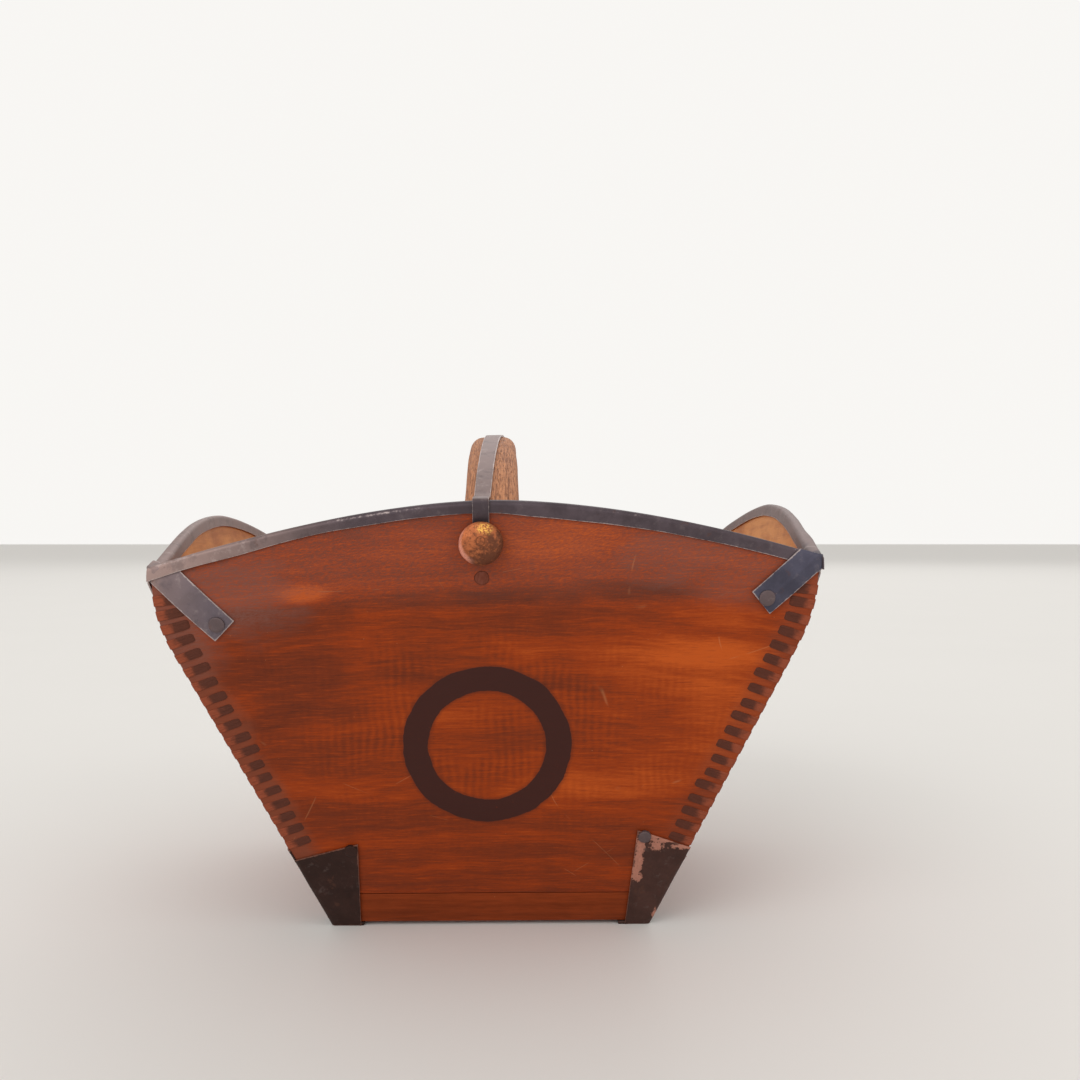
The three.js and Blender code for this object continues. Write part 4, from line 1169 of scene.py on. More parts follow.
def make_tab(plan, tab, quarters, material):
    """A tab on a wall. Past the rim it folds over the top, past the corner it turns onto the next wall."""
    iron = plan.iron
    middle = tab.seat + iron.sheet / 2
    total = tab.length + TAB_PAST

    def place(u, v):
        along = u * total - TAB_PAST
        x, z = plan.tab_point(tab, along, (v - 0.5) * iron.tab_width)
        bent = wobble(Vector((along, v * iron.tab_width, quarters + tab.side)), *TAB_DENTS).x
        out = middle + TAB_CROWN * (1 - (2 * v - 1) ** 2) + bent
        if tab.side > 0:
            out += CREASE * bell((v - CREASE_PLACE) / CREASE_WIDTH) * smooth_step(3 * (1 - u))
        top = plan.rim_height(x / plan.corner_top_half) + iron.clear + iron.sheet / 2
        if tab.side < 0:
            top -= iron.fold
        over = min(z - top, plan.body.wall + iron.sheet)
        if over > 0:
            return plan.placed(plan.wrapped_point(x, top, out - over), quarters)
        return plan.placed(plan.wrapped_point(x, z, out), quarters)

    borders = border_wear(total, iron.tab_width, 1.3 * MM, ("v0", "v1", "u1"))

    def worn(u, v):
        crease = bell((v - CREASE_PLACE) / CREASE_WIDTH) if tab.side > 0 else 0.0
        return max(borders(u, v), 0.5 * crease)

    piece = sheet("tab", *TAB_GRID, place, lambda u, v: (u * total, v * iron.tab_width), worn)
    piece.data.materials.append(material)
    sheet_metal(piece, iron.sheet, edge=0.22 * MM)
    return piece


def channel_section(row, outer, inner, fold, drop, deep):
    """Distance out from the wall and up from the rim at a row of the folded section."""
    if row <= SIDE_ROWS:
        return outer, -drop + (drop - fold) * row / SIDE_ROWS
    row -= SIDE_ROWS
    if row <= FOLD_ROWS:
        turn = row / FOLD_ROWS * QUARTER_TURN
        return outer - fold + fold * math.cos(turn), -fold + fold * math.sin(turn)
    row -= FOLD_ROWS
    if row <= TOP_ROWS:
        return outer - fold - (outer - inner - 2 * fold) * row / TOP_ROWS, 0.0
    row -= TOP_ROWS
    if row <= FOLD_ROWS:
        turn = row / FOLD_ROWS * QUARTER_TURN
        return inner + fold - fold * math.sin(turn), -fold + fold * math.cos(turn)
    return inner, -fold - (deep - fold) * (row - FOLD_ROWS) / INNER_ROWS


def make_channel(plan, quarters, material):
    """The strip folded over a wall's rim. Its left end is lifted over the tab beneath."""
    iron = plan.iron
    half_top = plan.corner_top_half
    half_sheet = iron.sheet / 2
    inner = -plan.body.wall - iron.clear - half_sheet

    def side_height(x):
        if quarters == 0:
            narrow = smooth_between(x, *FRONT_NARROWS) * (1 - smooth_between(x, *FRONT_WIDENS))
            return iron.flange + (iron.front_flange - iron.flange) * narrow
        return iron.flange + wobble(Vector((x, quarters, 0.0)), *FLANGE_UNEVEN).x

    def share_at(u):
        """Share of the way from the middle to a corner, in finer steps towards the corners."""
        return math.sin((2 * u - 1) * QUARTER_TURN)

    def place(u, v):
        share = share_at(u)
        x = share * half_top
        lap = 1 - smooth_step((x + half_top - LAP_REACH) / LAP_EASE)
        outer = plan.lower + (plan.upper - plan.lower) * lap + half_sheet
        out, up = channel_section(v * CHANNEL_ROWS, outer, inner, iron.fold, side_height(x), iron.flange)
        dents = wobble(Vector((x, out, quarters * 2.0)), *CHANNEL_DENTS).y
        ragged = wobble(Vector((x, 5.0, quarters * 2.0)), *FLANGE_RAGGED).x * abs(up) / iron.flange
        z = plan.rim_height(share) + iron.clear + half_sheet + up + ragged
        reach = plan.mitre(z, out + 0.1 * MM)
        return plan.placed(plan.wall_point(share * reach, z, out + dents), quarters)

    def worn(u, v):
        row = v * CHANNEL_ROWS
        border = max(0.0, 1 - min(row, CHANNEL_ROWS - row) / 1.2)
        # A painted highlight along the outer fold at the top, broken up by gate; the rows at the edges are
        # worn.
        fold = bell((row - SIDE_ROWS - 2) / 2)
        gate = 0.5 + wobble(Vector((u * 7.0, quarters, 0.0)), 1.0, 1.0).x
        return max(border, 0.8 * fold * smooth_step(gate))

    def metres(u, v):
        return share_at(u) * half_top, v * CHANNEL_GIRTH

    piece = sheet("channel", CHANNEL_COLUMNS, CHANNEL_ROWS, place, metres, worn)
    piece.data.materials.append(material)
    sheet_metal(piece, iron.sheet, edge=0.2 * MM)
    return piece


class MEASURE_OT_rim(bpy.types.Operator):
    """Makes the folded iron strips with their tabs"""

    bl_idname = "measure.rim"
    bl_label = "Rim strips"

    def execute(self, context):
        plan = Plan(context.scene)
        lower_tab, upper_tab = plan.tabs
        channel_iron, tab_iron = rim_iron(plan)
        for quarters, side in enumerate(SIDES):
            pieces = [
                make_channel(plan, quarters, channel_iron),
                make_tab(plan, lower_tab, quarters + 1, tab_iron),
                make_tab(plan, upper_tab, quarters - 1, tab_iron),
            ]
            strip = joined(f"{side}_rim_iron", pieces)
            smooth(strip)
            dress(strip, [], "iron", f"{side}_rim_strip")
        return {"FINISHED"}


# Shoes

# Bare pinkish wear on the front right shoe, in millimetres: each blot's middle and half size.
SHOE_SPOTS = (
    ((97.5, 62.5), (7.5, 3.4)),
    ((102.0, 56.2), (4.4, 3.2)),
    ((92.0, 56.0), (3.0, 7.0)),
    ((91.2, 47.0), (2.6, 9.0)),
    ((90.0, 38.5), (2.6, 7.0)),
    ((90.5, 34.5), (3.6, 3.4)),
    ((108.0, 60.0), (10.0, 1.6)),
    ((118.0, 55.6), (8.0, 1.8)),
    ((103.0, 7.0), (1.6, 4.5)),
)
LEAF_FOOT = 0.6 * MM  # how far a leaf's foot stays above the table
LEAF_LAP = 0.6 * MM  # how far a leaf runs past the corner
LEAF_GRID = (40, 48)
LEAF_DENTS = (16 * MM, 0.25 * MM)
LEAF_CURL = (0.3 * MM, 0.25 * MM)  # how far its inner and its upper edge stand off the wall
FOOT_WEAR = 0.3
WORN_SHOE = 1.7  # how much lighter the worn shoe's iron is


def make_leaf(plan, leaf, quarters):
    """A leaf of a shoe, up a wall from the table and in from the corner."""
    iron = plan.iron
    middle = iron.clear + iron.sheet / 2
    corner_x = plan.corner_half(leaf.corner_height)

    def place(u, v):
        z_inner = LEAF_FOOT + v * (leaf.inner_height - LEAF_FOOT)
        z_corner = LEAF_FOOT + v * (leaf.corner_height - LEAF_FOOT)
        near = leaf.foot_x + (leaf.top_x - leaf.foot_x) * v
        far = plan.corner_half(z_corner) + LEAF_LAP
        x = near + (far - near) * u
        z = z_inner + (z_corner - z_inner) * u
        dent = wobble(Vector((x, z, quarters + leaf.side * 0.5)), *LEAF_DENTS).x * (1 - v * 0.3)
        curl = LEAF_CURL[0] * smooth_step(1 - u * 8) + LEAF_CURL[1] * smooth_between(v, 0.93, 1.0)
        return plan.placed(plan.wrapped_point(leaf.side * x, z, middle + dent + curl), quarters)

    wide = corner_x - leaf.top_x
    worn = border_wear(wide, leaf.inner_height, 1.5 * MM, ("u0", "v1", "v0"))
    piece = sheet("leaf", *LEAF_GRID, place, lambda u, v: (u * wide, v * leaf.inner_height), worn)
    sheet_metal(piece, iron.sheet, edge=0.22 * MM)
    return piece


def make_foot(plan, quarters):
    """The square that a shoe folds under the base, with its outer corner cut off."""
    iron, shoe = plan.iron, plan.shoe
    outer = plan.corner_half(0.0) + (iron.clear + iron.sheet) * math.hypot(1, plan.body.flare) - 0.05 * MM
    foot = primitive("foot", bpy.ops.mesh.primitive_cube_add, size=1)
    for vertex in foot.data.vertices:
        x = outer if vertex.co.x > 0 else outer - shoe.foot_reach
        y = -outer if vertex.co.y < 0 else -outer + shoe.foot_reach
        vertex.co = Vector((x, y, shoe.foot_thick if vertex.co.z > 0 else 0.0))
    edit(foot, "EDGE")
    end_edit()
    for edge in foot.data.edges:
        ends = [foot.data.vertices[i].co for i in edge.vertices]
        edge.select = all(p.x > outer - MM and p.y < -outer + MM for p in ends)
    bpy.ops.object.mode_set(mode="EDIT")
    bpy.ops.mesh.bevel(offset=shoe.corner_cut, segments=1)
    end_edit()
    soften(foot, 0.5 * MM)
    foot.data.uv_layers.active.name = "pattern"
    for vertex in foot.data.vertices:
        vertex.co = plan.placed(vertex.co, quarters)
    store_wear(foot, [FOOT_WEAR] * len(foot.data.vertices))
    return foot


class MEASURE_OT_shoes(bpy.types.Operator):
    """Makes the iron shoes of the lower corners"""

    bl_idname = "measure.shoes"
    bl_label = "Corner shoes"

    def execute(self, context):
        plan = Plan(context.scene)
        low_leaf, high_leaf = plan.leaves
        for quarters, corner in enumerate(CORNERS):
            pieces = [
                make_leaf(plan, high_leaf, quarters),
                make_leaf(plan, low_leaf, quarters + 1),
                make_foot(plan, quarters),
            ]
            shoe = joined(f"{corner}_iron_shoe", pieces)
            smooth(shoe)
            material = shoe_iron(plan)
            if corner == "front_right":
                material = shoe_iron(plan, "worn_shoe_iron", WORN_SHOE, SHOE_SPOTS)
            dress(shoe, [material], "dark_iron", f"{corner}_shoe")
        return {"FINISHED"}


# Fasteners

# Each step of a rivet head's cap: its inset as a share of the radius, its rise as one of the height.
HEAD_STEPS = ((0.10, 0.20), (0.15, 0.10), (0.22, 0.06), (0.36, 0.03))
RIVET_LIFT = 0.2 * MM
RIVET_SIDES = 40
RIVET_RIM_WEAR_AND_HIGHLIGHT = 0.45
RIVET_UNEVEN = (3 * MM, 0.12 * MM)
RIVET_CLEAN = 0.2


def stand_on_wall(plan, piece, x, z, out, quarters):
    """Moves a piece made upright at the origin so that it stands out from a wall."""
    turn = plan.wall_normal(x, z).to_track_quat("Z", "Y").to_matrix()
    seat = plan.wall_point(x, z, out)
    for vertex in piece.data.vertices:
        vertex.co = plan.placed(turn @ vertex.co + seat, quarters)
    piece.data.update()


def make_rivet(plan, radius):
    """A flat rivet head with a rounded edge, upright at the origin."""
    high = plan.iron.rivet_height
    add_cylinder = bpy.ops.mesh.primitive_cylinder_add
    rivet = primitive("rivet", add_cylinder, vertices=RIVET_SIDES, radius=radius, depth=2 * high)
    edit_top(rivet)
    for inset, rise in HEAD_STEPS:
        bpy.ops.mesh.inset(thickness=inset * radius, depth=rise * high)
    end_edit()
    soften(rivet, width=0.18 * MM, angle=30)
    shares = [v.co.xy.length / radius for v in rivet.data.vertices]
    # The rim is marked as worn, and the finish shows it as a worn edge with a painted highlight.
    store_wear(rivet, [RIVET_RIM_WEAR_AND_HIGHLIGHT * smooth_between(share, 0.8, 1.0) for share in shares])
    smooth(rivet, angle=35)
    return rivet


def batter(piece, seed):
    """Pushes a rivet head slightly out of round."""
    for vertex in piece.data.vertices:
        push = wobble(Vector((vertex.co.x, vertex.co.y, seed * 0.01)), *RIVET_UNEVEN, seed)
        vertex.co += Vector((push.x, push.y, push.z * 0.5))


class MEASURE_OT_rivets(bpy.types.Operator):
    """Makes the rivets of the tabs and the shoes"""

    bl_idname = "measure.rivets"
    bl_label = "Rivets"

    def execute(self, context):
        plan = Plan(context.scene)
        iron, shoe = plan.iron, plan.shoe
        c = plan.colours

        def clean(x, y, z):
            return RIVET_CLEAN

        heads = finish("rivet_iron", sheet_iron, plan, c.iron, c.iron_light, 85.0, clean)
        large = make_rivet(plan, iron.tab_rivet)
        small = make_rivet(plan, iron.shoe_rivet)
        for quarters, side in enumerate(SIDES):
            for tab in plan.tabs:
                node = f"{side}_tab_rivet_{tab.hand}"
                rivet = copied(large, f"{node}_head")
                batter(rivet, 3.0 * quarters + tab.side)
                x, z = plan.tab_point(tab, tab.length - tab.inset, 0.0)
                stand_on_wall(plan, rivet, x, z, tab.seat + iron.sheet + TAB_CROWN, quarters)
                dress(rivet, [heads], "iron", node)
            for leaf in plan.leaves:
                node = f"{side}_shoe_rivet_{leaf.hand}"
                rivet = copied(small, f"{node}_head")
                batter(rivet, 40.0 + 3.0 * quarters + leaf.side)
                x, z = leaf.side * (leaf.top_x + shoe.rivet_inset), leaf.inner_height - shoe.rivet_drop
                stand_on_wall(plan, rivet, x, z, plan.lower + iron.sheet + RIVET_LIFT, quarters)
                dress(rivet, [heads if leaf.side * (1 - quarters) > 0 else shoe_iron(plan)], "iron", node)
        delete(large, small)
        return {"FINISHED"}


NAIL_SEAT = 1.9 * MM  # the nail's edge stands this far out, on the strap's end
NAIL_EDGE = 0.8 * MM  # height of its upright edge
NAIL_GRID = {"segments": 72, "ring_count": 48}
NAIL_UNEVEN = (4 * MM, 0.2 * MM, 1.0)
RING_DEPTH = 0.22 * MM
RING_WIDTH = 0.45 * MM
PEG_SEAT = 0.3 * MM
PEG_LENGTH = 16 * MM
PEG_SIDES = 36
PEG_UNEVEN = (5 * MM, 0.25 * MM, 5.0)


def make_nail(plan):
    """A domed head with a battered skin and a small ring struck into its middle."""
    iron = plan.iron
    nail = primitive("nail", bpy.ops.mesh.primitive_uv_sphere_add, radius=iron.nail_radius, **NAIL_GRID)
    edit(nail, "VERT", "SELECT")
    bpy.ops.mesh.bisect(plane_co=(0, 0, 0), plane_no=(0, 0, 1), clear_inner=True, use_fill=False)
    bpy.ops.mesh.select_all(action="SELECT")
    bpy.ops.transform.resize(value=(1, 1, iron.nail_dome / iron.nail_radius))
    end_edit()
    for vertex in nail.data.vertices:
        struck = RING_DEPTH * bell((vertex.co.xy.length - RING_STRUCK) / RING_WIDTH)
        vertex.co.z += NAIL_EDGE - struck
    edit(nail, "EDGE")
    bpy.ops.mesh.select_non_manifold()
    bpy.ops.mesh.extrude_region_move(TRANSFORM_OT_translate={"value": (0, 0, -NAIL_EDGE)})
    bpy.ops.mesh.edge_face_add()
    end_edit()
    outward(nail)
    for vertex in nail.data.vertices:
        push = wobble(vertex.co.copy(), *NAIL_UNEVEN)
        vertex.co += push * max(0.0, min(1.0, (vertex.co.z - NAIL_EDGE) / MM + 0.2))
    smooth(nail, angle=50)
    return nail


def make_peg(plan):
    """The rounded end of a wooden peg, with its shank behind it."""
    radius = plan.iron.peg_radius
    options = {"vertices": PEG_SIDES, "radius": radius, "depth": PEG_LENGTH, "end_fill_type": "TRIFAN"}
    peg = primitive("peg", bpy.ops.mesh.primitive_cylinder_add, **options)
    for vertex in peg.data.vertices:
        vertex.co.z -= PEG_LENGTH / 2
        push = wobble(Vector((vertex.co.x, vertex.co.y, 0.0)), *PEG_UNEVEN)
        vertex.co.x += push.x
        vertex.co.y += push.y
    soften(peg, width=0.3 * MM)
    store_wear(peg, [v.co.xy.length / radius for v in peg.data.vertices])
    smooth(peg)
    return peg


class MEASURE_OT_nails(bpy.types.Operator):
    """Makes the big copper nails and the wooden pegs"""

    bl_idname = "measure.nails"
    bl_label = "Nails and pegs"

    def execute(self, context):
        plan = Plan(context.scene)
        copper = finish("old_copper", old_copper, plan)
        c = plan.colours
        light = tuple((a + b) / 2 for a, b in zip(c.stain_brown, c.haze))
        peg_wood = finish("peg_wood", block_wood, plan, light, c.stain_dark, "z")
        nail_model, peg_model = make_nail(plan), make_peg(plan)
        for quarters, side, sign in ((0, "front", 1), (2, "back", -1)):
            nail = copied(nail_model, f"{side}_nail_dome")
            x = plan.side_x(sign, plan.nail_height)
            stand_on_wall(plan, nail, x, plan.nail_height, NAIL_SEAT, quarters)
            dress(nail, [copper], "copper", f"{side}_nail")
            peg = copied(peg_model, f"{side}_peg_end")
            x = plan.side_x(sign, plan.peg_height)
            stand_on_wall(plan, peg, x, plan.peg_height, PEG_SEAT, quarters)
            dress(peg, [peg_wood], "base_wood", f"{side}_peg")
        delete(nail_model, peg_model)
        return {"FINISHED"}


# Lacing

INSIDE_RUN = 3 * MM  # from the inner corner to where a diagonal starts
LACE_CLIMB = 0.32  # share of the pitch that an inside diagonal climbs at each end
LACE_SEED = 11
LACE_ROWS = 6
LACE_RAGGED = (1.0, 0.35 * MM)
SLOT_TURN = 0.4 * MM  # from a slot to where the strip turns along the inside
SLOT_EASE = 1.1 * MM  # and from there to where it lies flat
SLOT_DEPTH = 0.3  # share of the way to the inside at which a stitch starts
CORNER_RUB = 0.6  # share of a stitch's reach that is rubbed
STITCH_STRAY = 0.5 * MM
REACH_STRAY = (-1.4 * MM, 0.9 * MM)
STITCH_SWELL = (0.05 * MM, 0.3 * MM)

# Each place along half a stitch: share of its reach, millimetres beyond that, share of its depth and width.
HALF_STITCH = (
    (1.0, 0.0, 0.0, 0.55),
    (1.0, -0.15, 0.65, 0.62),
    (1.0, -0.6, 0.95, 0.80),
    (1.0, -1.5, 1.0, 0.97),
    (0.75, 0.0, 1.0, 1.0),
    (0.5, 0.0, 1.0, 1.0),
    (0.25, 0.0, 1.0, 1.0),
    (0.0, 1.5, 1.0, 1.0),
    (0.0, 0.4, 0.9, 1.0),
)


def lacing_line(plan, jitter):
    """A corner's lacing as places on its middle line: point, direction and share of its width, and wear."""
    lace, body = plan.lace, plan.body
    surface = -lace.sunk
    behind = -body.wall - plan.iron.clear - lace.thick / 2
    line = []

    def add(frame_at, distance, out, far, rise=0.0, width=1.0, worn=0.0):
        origin, along, normal, inward = frame_at
        point = origin + inward * distance + normal * out + along * rise
        if far:
            point, along = across_corner(point), across_corner(along)
        line.append((point, along, width, worn))

    for k in range(lace.stitches):
        here = plan.corner_frame(lace.start + lace.pitch * k)
        shift = jitter.uniform(-STITCH_STRAY, STITCH_STRAY)
        reaches = [lace.reach + jitter.uniform(*REACH_STRAY) for _ in range(2)]
        swell = jitter.uniform(*STITCH_SWELL)
        steps = [(reaches[0], False, step) for step in HALF_STITCH]
        steps += [(reaches[1], True, step) for step in reversed(HALF_STITCH)]
        for reach, far, (share, beyond, depth, width) in steps:
            distance = share * reach + beyond * MM
            bulge = surface + swell * math.sin(math.pi * min(1.0, distance / reach))
            out = behind * SLOT_DEPTH * (1 - depth) + bulge * depth
            rubbed = 1 - smooth_step(distance / (CORNER_RUB * reach))
            add(here, distance, out, far, shift, width, rubbed)
        far_slot = reaches[1]
        far_turn = far_slot - SLOT_TURN
        add(here, far_slot, behind * 0.6, True, shift)
        add(here, far_turn, behind * 0.95, True, shift)
        add(here, far_turn - SLOT_EASE, behind, True, shift)
        add(here, body.wall + INSIDE_RUN, behind, True, shift)
        if k + 1 < lace.stitches:
            there = plan.corner_frame(lace.start + lace.pitch * (k + 1))
            rise = lace.pitch * LACE_CLIMB
            near_turn = lace.reach - SLOT_TURN
            add(here, body.wall + INSIDE_RUN / 2, behind, True, rise)
            add(there, body.wall + INSIDE_RUN / 2, behind, False, -rise)
            add(there, body.wall + INSIDE_RUN, behind, False)
            add(there, near_turn - SLOT_EASE, behind, False)
            add(there, near_turn, behind * 0.95, False)
    return line


class MEASURE_OT_lacing(bpy.types.Operator):
    """Makes the bark lacing, one unbroken strip to a corner"""

    bl_idname = "measure.lacing"
    bl_label = "Lacing"

    def execute(self, context):
        plan = Plan(context.scene)
        lace = plan.lace
        material = finish("bark", bark, plan)
        for quarters, corner in enumerate(CORNERS):
            line = lacing_line(plan, random.Random(LACE_SEED + quarters))
            last = len(line) - 1
            lengths = [0.0]
            for a, b in zip(line, line[1:]):
                lengths.append(lengths[-1] + (b[0] - a[0]).length)

            def place(u, v):
                index = round(u * last)
                point, along, width, _ = line[index]
                direction = (line[min(last, index + 1)][0] - line[max(0, index - 1)][0]).normalized()
                side = (along - direction * along.dot(direction)).normalized()
                edge = 2 * v - 1
                ragged = wobble(Vector((index * 0.31, v * 3.0, quarters)), *LACE_RAGGED).x * abs(edge)
                return plan.placed(point + side * (edge * width * lace.width / 2 + ragged), quarters)

            def metres(u, v):
                return lengths[round(u * last)], v * lace.width

            def worn(u, v):
                return line[round(u * last)][3]

            strip = sheet(f"{corner}_bark_lacing", last, LACE_ROWS, place, metres, worn)
            sheet_metal(strip, lace.thick, edge=0.3 * MM)
            smooth(strip, angle=50)
            dress(strip, [material], "bark", f"{corner}_lacing")
        return {"FINISHED"}


# Handle

ARC_STEPS = 8  # to each rounded corner of the bow
BOW_COLUMNS = 170
BOW_END_STEPS = 4  # rounds in which a place of the bow's end is brought to the wall
BOW_UNEVEN = (30 * MM, 0.3 * MM)
BOW_END_GAP = 0.01 * MM  # points closer than this close the bow's seam


def bow_outline(bow):
    """The closed outline across the bow, starting at its upper right corner.

    Each place is its x, whether it goes with the bow's top or its underside, and its height from that."""
    half = bow.width / 2
    top, low = bow.top_round, bow.under_round
    corners = (
        (half - top, True, -top, top),
        (-half + top, True, -top, top),
        (-half + low, False, low, low),
        (half - low, False, low, low),
    )
    outline = []
    for index, (x, is_top, rise, radius) in enumerate(corners):
        for step in range(ARC_STEPS + 1):
            turn = (index + step / ARC_STEPS) * QUARTER_TURN
            outline.append((x + radius * math.cos(turn), is_top, rise + radius * math.sin(turn)))
    return outline + outline[:1]


class MEASURE_OT_bow(bpy.types.Operator):
    """Makes the wooden bow that is the handle"""

    bl_idname = "measure.bow"
    bl_label = "Handle bow"

    def execute(self, context):
        plan = Plan(context.scene)
        body, iron, bow = plan.body, plan.iron, plan.bow
        outline = bow_outline(bow)
        around = len(outline) - 1
        middle = [(x, rise if is_top else rise - bow.middle_depth) for x, is_top, rise in outline]
        girth = [0.0]
        for a, b in zip(middle, middle[1:]):
            girth.append(girth[-1] + math.dist(a, b))
        half_length = plan.middle_half(plan.rim_top)
        behind_wall = (body.wall + iron.clear) * math.hypot(1, body.middle_top_flare)
        behind_iron = iron.sheet + iron.clear

        def height(y, is_top, rise):
            return (plan.bow_over(y) if is_top else plan.bow_under(y)) + rise

        def place(u, v):
            share = 2 * u - 1
            x, is_top, rise = outline[round(v * around) % around]
            y = share * half_length
            for _ in range(BOW_END_STEPS):
                z = height(y, is_top, rise)
                by_iron = smooth_step((z - plan.rim_top + iron.flange) / MM + 2)
                y = share * (plan.wall_distance(x, z) - behind_wall - behind_iron * by_iron)
            z = height(y, is_top, rise)
            push = wobble(Vector((x, y, z)), *BOW_UNEVEN) * (1 - share**8)
            return plan.placed(Vector((x + bow.shift + bow.slant * y + push.x, y, z + push.z)), 0)

        def metres(u, v):
            return u * 2 * half_length, girth[round(v * around)]

        piece = sheet("bow_handle", BOW_COLUMNS, around, place, metres)
        edit(piece, "VERT", "SELECT")
        bpy.ops.mesh.remove_doubles(threshold=BOW_END_GAP)
        bpy.ops.mesh.select_all(action="DESELECT")
        bpy.ops.mesh.select_mode(type="EDGE")
        bpy.ops.mesh.select_non_manifold()
        bpy.ops.mesh.fill_holes(sides=0)
        end_edit()
        outward(piece)
        smooth(piece)
        dress(piece, [finish("bow_wood", bow_wood, plan)], "raw_wood", "handle_bow")
        return {"FINISHED"}


STRAP_LIFT = 0.1 * MM
STRAP_STEPS = 34
STRAP_ROWS = 8
STRAP_BENT = (20 * MM, 0.2 * MM)
STRAP_EASE = 0.5 * MM  # above and below the place where the strap steps out
STRAP_RUBBED_AND_LIT = 0.62  # how much lighter the strap is on the bow: rubbed clean, and painted light where it faces up
STRAP_WEAR = 1 * MM
STRAP_TURN = ((1.8, 0.0), (0.8, 0.25), (0.2, 0.9), (0.0, 1.9))  # onto the rim: millimetres down and inwards


def strap_line(plan):
    """The line that the strap's middle follows from nail to nail, as y and z."""
    body, iron, bow = plan.body, plan.iron, plan.bow
    half = bow.strap_thick / 2

    def outside(z, out):
        point = plan.wall_point(0.0, z, out)
        return point.y, point.z

    on_wall = iron.clear + half
    on_side = 2 * iron.clear + iron.sheet + half
    foot = plan.rim_top - iron.front_flange
    over = plan.rim_top + 2 * iron.clear + iron.sheet + half
    end = plan.nail_height - bow.strap_end_drop
    edge = outside(over, -body.wall - iron.clear - iron.sheet)
    nail_top = plan.nail_height + iron.nail_radius
    front = [
        outside(end, on_wall),
        outside((end + foot) / 2, on_wall),
        outside(nail_top - 3 * STRAP_EASE, on_wall),
        outside(nail_top - STRAP_EASE, on_wall + 0.2 * MM),
        outside(foot - STRAP_EASE, on_side),
        outside(plan.rim_top - 4 * STRAP_EASE, on_side),
    ]
    front += [outside(over - down * MM, on_side - inward * MM) for down, inward in STRAP_TURN]
    front += [edge, (edge[0] + 1.2 * MM, edge[1] + 0.1 * MM)]
    shoulder = edge[0] + bow.strap_step
    for step in range(STRAP_STEPS + 1):
        y = shoulder * (1 - step / STRAP_STEPS)
        tilt = math.asin(-y / plan.bow_outer)
        front.append((y - on_wall * math.sin(tilt), plan.bow_over(y) + on_wall * math.cos(tilt)))
    return front + [(-y, z) for y, z in reversed(front[:-1])]


class MEASURE_OT_strap(bpy.types.Operator):
    """Makes the iron strap on the bow"""

    bl_idname = "measure.strap"
    bl_label = "Handle strap"

    def execute(self, context):
        plan = Plan(context.scene)
        bow = plan.bow
        line = strap_line(plan)
        last = len(line) - 1
        reach = -line[0][0]

        def place(u, v):
            y, z = line[round(u * last)]
            share = min(1.0, abs(y) / reach)
            width = bow.strap_middle_width + (bow.strap_end_width - bow.strap_middle_width) * share
            bent = wobble(Vector((y, z, v * 0.01)), *STRAP_BENT)
            x = plan.strap_x(y) + (v - 0.5) * width + bent.x * 0.6
            return plan.placed(Vector((x, y, z + bent.y * 0.5 + STRAP_LIFT)), 0)

        def metres(u, v):
            return u * 0.5, v * bow.strap_middle_width

        # Painted light: the strap is lighter where it runs over the bow and faces up, besides being rubbed
        # clean there.
        def on_bow(x, y, z):
            return z.step(plan.rim_top + 0.5 * MM, plan.rim_top + 4 * MM) * STRAP_RUBBED_AND_LIT

        wear = border_wear(bow.strap_end_width, bow.strap_end_width, STRAP_WEAR, ("v0", "v1"))
        piece = sheet("iron_strap", last, STRAP_ROWS, place, metres, wear)
        sheet_metal(piece, bow.strap_thick, edge=0.25 * MM)
        smooth(piece)
        c = plan.colours
        iron = finish("strap_iron", sheet_iron, plan, c.iron, c.iron_edge, 83.0, on_bow)
        dress(piece, [iron], "iron", "handle_strap")
        return {"FINISHED"}


# Stage

WORLD_LIGHT = 0.74
FLOOR_SIZE = 120.0
LAMP_AIM = (0, 0, 0.15)

# Each lamp's name, place, power in watts and size.
LAMPS = (
    ("key", (-4.8, -7.6, 5.0), 330.0, 6.4),
    ("fill", (6.8, -6.0, 3.6), 115.0, 7.2),
    ("back", (1.2, 7.2, 7.2), 165.0, 7.2),
)
CAMERA_PLACE = (0.01945, -0.7862, 0.2435)
CAMERA_TURN = (QUARTER_TURN, 0, -0.0166)
LENS = 36.1
SENSOR = 36.0


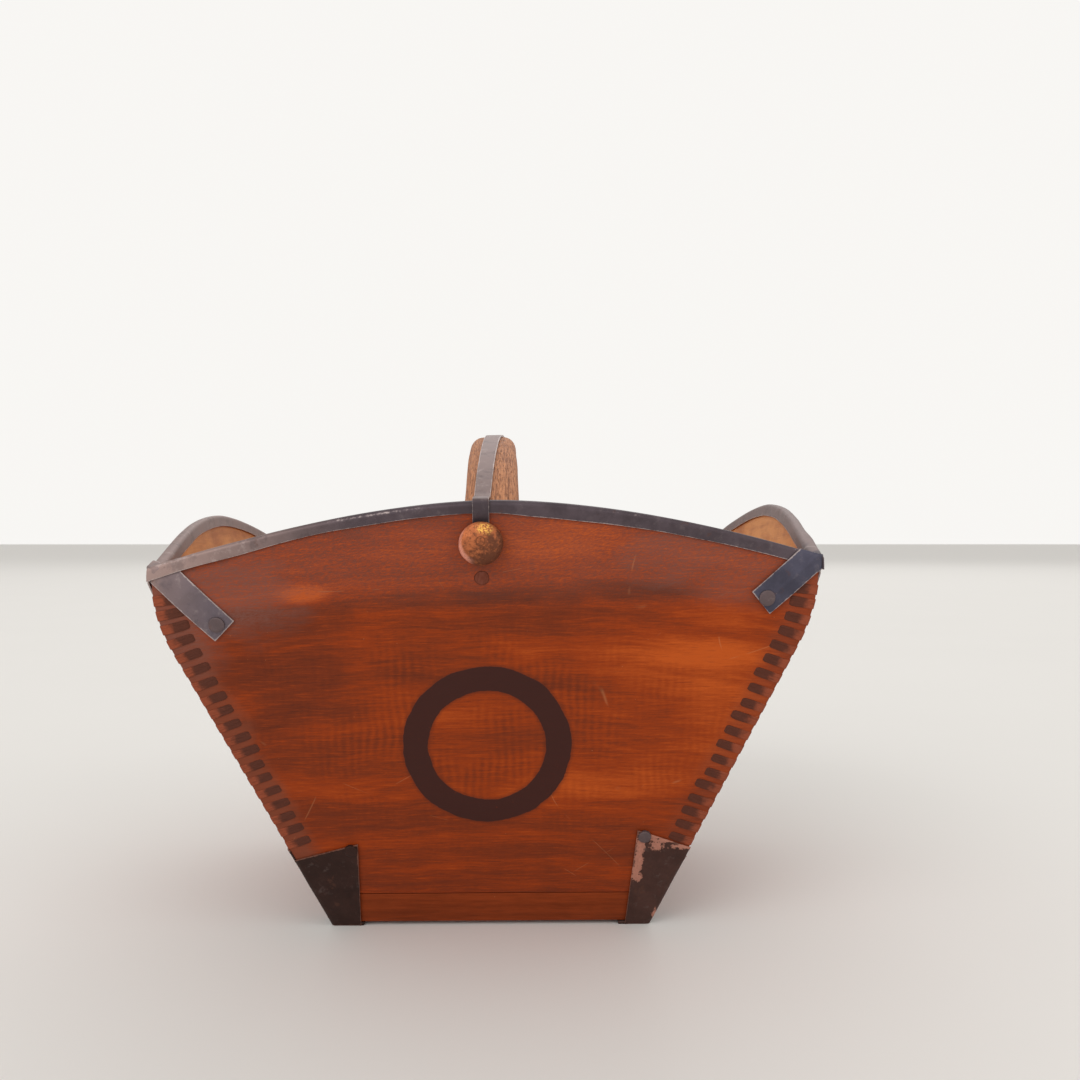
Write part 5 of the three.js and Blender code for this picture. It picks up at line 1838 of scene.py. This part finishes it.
class MEASURE_OT_stage(bpy.types.Operator):
    """Sets the floor, the lamps, the world, the camera and the view"""

    bl_idname = "measure.stage"
    bl_label = "Stage"

    def execute(self, context):
        plan = Plan(context.scene)
        scene = context.scene
        floor = primitive("floor", bpy.ops.mesh.primitive_plane_add, size=FLOOR_SIZE)
        floor.data.materials.append(finish("plain_floor", plain_floor, plan))

        for name, place, power, size in LAMPS:
            deselect()
            bpy.ops.object.light_add(type="AREA", location=place)
            lamp = context.object
            lamp.name = name
            lamp.data.size = size
            lamp.data.energy = power
            lamp.rotation_euler = (Vector(LAMP_AIM) - Vector(place)).to_track_quat("-Z", "Y").to_euler()

        world = bpy.data.worlds.new("studio")
        world.use_nodes = True
        nodes = Nodes(world.node_tree)
        seen = nodes.node("ShaderNodeLightPath", out="Is Camera Ray")
        seen = seen.maximum(seen.output("Is Glossy Ray")).maximum(seen.output("Is Transmission Ray"))
        strength = WORLD_LIGHT + seen * (1 - WORLD_LIGHT)
        inputs = {"Color": (*plan.colours.studio, 1.0), "Strength": strength}
        light = nodes.node("ShaderNodeBackground", inputs=inputs)
        nodes.node("ShaderNodeOutputWorld", inputs={"Surface": light})
        scene.world = world

        deselect()
        bpy.ops.object.camera_add(location=CAMERA_PLACE, rotation=CAMERA_TURN)
        camera = context.object
        camera.data.lens = LENS
        camera.data.sensor_width = SENSOR
        camera.data.sensor_fit = "HORIZONTAL"
        scene.camera = camera
        scene.view_settings.view_transform = "Standard"
        return {"FINISHED"}


# Panel


STEPS = (
    MEASURE_OT_walls,
    MEASURE_OT_base,
    MEASURE_OT_rim,
    MEASURE_OT_shoes,
    MEASURE_OT_rivets,
    MEASURE_OT_nails,
    MEASURE_OT_lacing,
    MEASURE_OT_bow,
    MEASURE_OT_strap,
    MEASURE_OT_stage,
)


class MEASURE_PT_panel(bpy.types.Panel):
    """Lists the pieces of the measure"""

    bl_idname = "MEASURE_PT_panel"
    bl_label = "Grain Measure"
    bl_space_type = "VIEW_3D"
    bl_region_type = "UI"
    bl_category = "Measure"

    def draw(self, context):
        for step in STEPS:
            self.layout.operator(step.bl_idname)
        for name, kind in GROUPS.items():
            for key in kind.__annotations__:
                self.layout.prop(getattr(context.scene, name), key)


def register():
    for name, group in GROUPS.items():
        bpy.utils.register_class(group)
        setattr(bpy.types.Scene, name, PointerProperty(type=group))
    for step in STEPS:
        bpy.utils.register_class(step)
    bpy.utils.register_class(MEASURE_PT_panel)


def unregister():
    bpy.utils.unregister_class(MEASURE_PT_panel)
    for step in reversed(STEPS):
        bpy.utils.unregister_class(step)
    for name, group in GROUPS.items():
        delattr(bpy.types.Scene, name)
        bpy.utils.unregister_class(group)


def main():
    register()
    bpy.ops.measure.walls()
    bpy.ops.measure.base()
    bpy.ops.measure.rim()
    bpy.ops.measure.shoes()
    bpy.ops.measure.rivets()
    bpy.ops.measure.nails()
    bpy.ops.measure.lacing()
    bpy.ops.measure.bow()
    bpy.ops.measure.strap()
    bpy.ops.measure.stage()


if __name__ == "__main__":
    main()
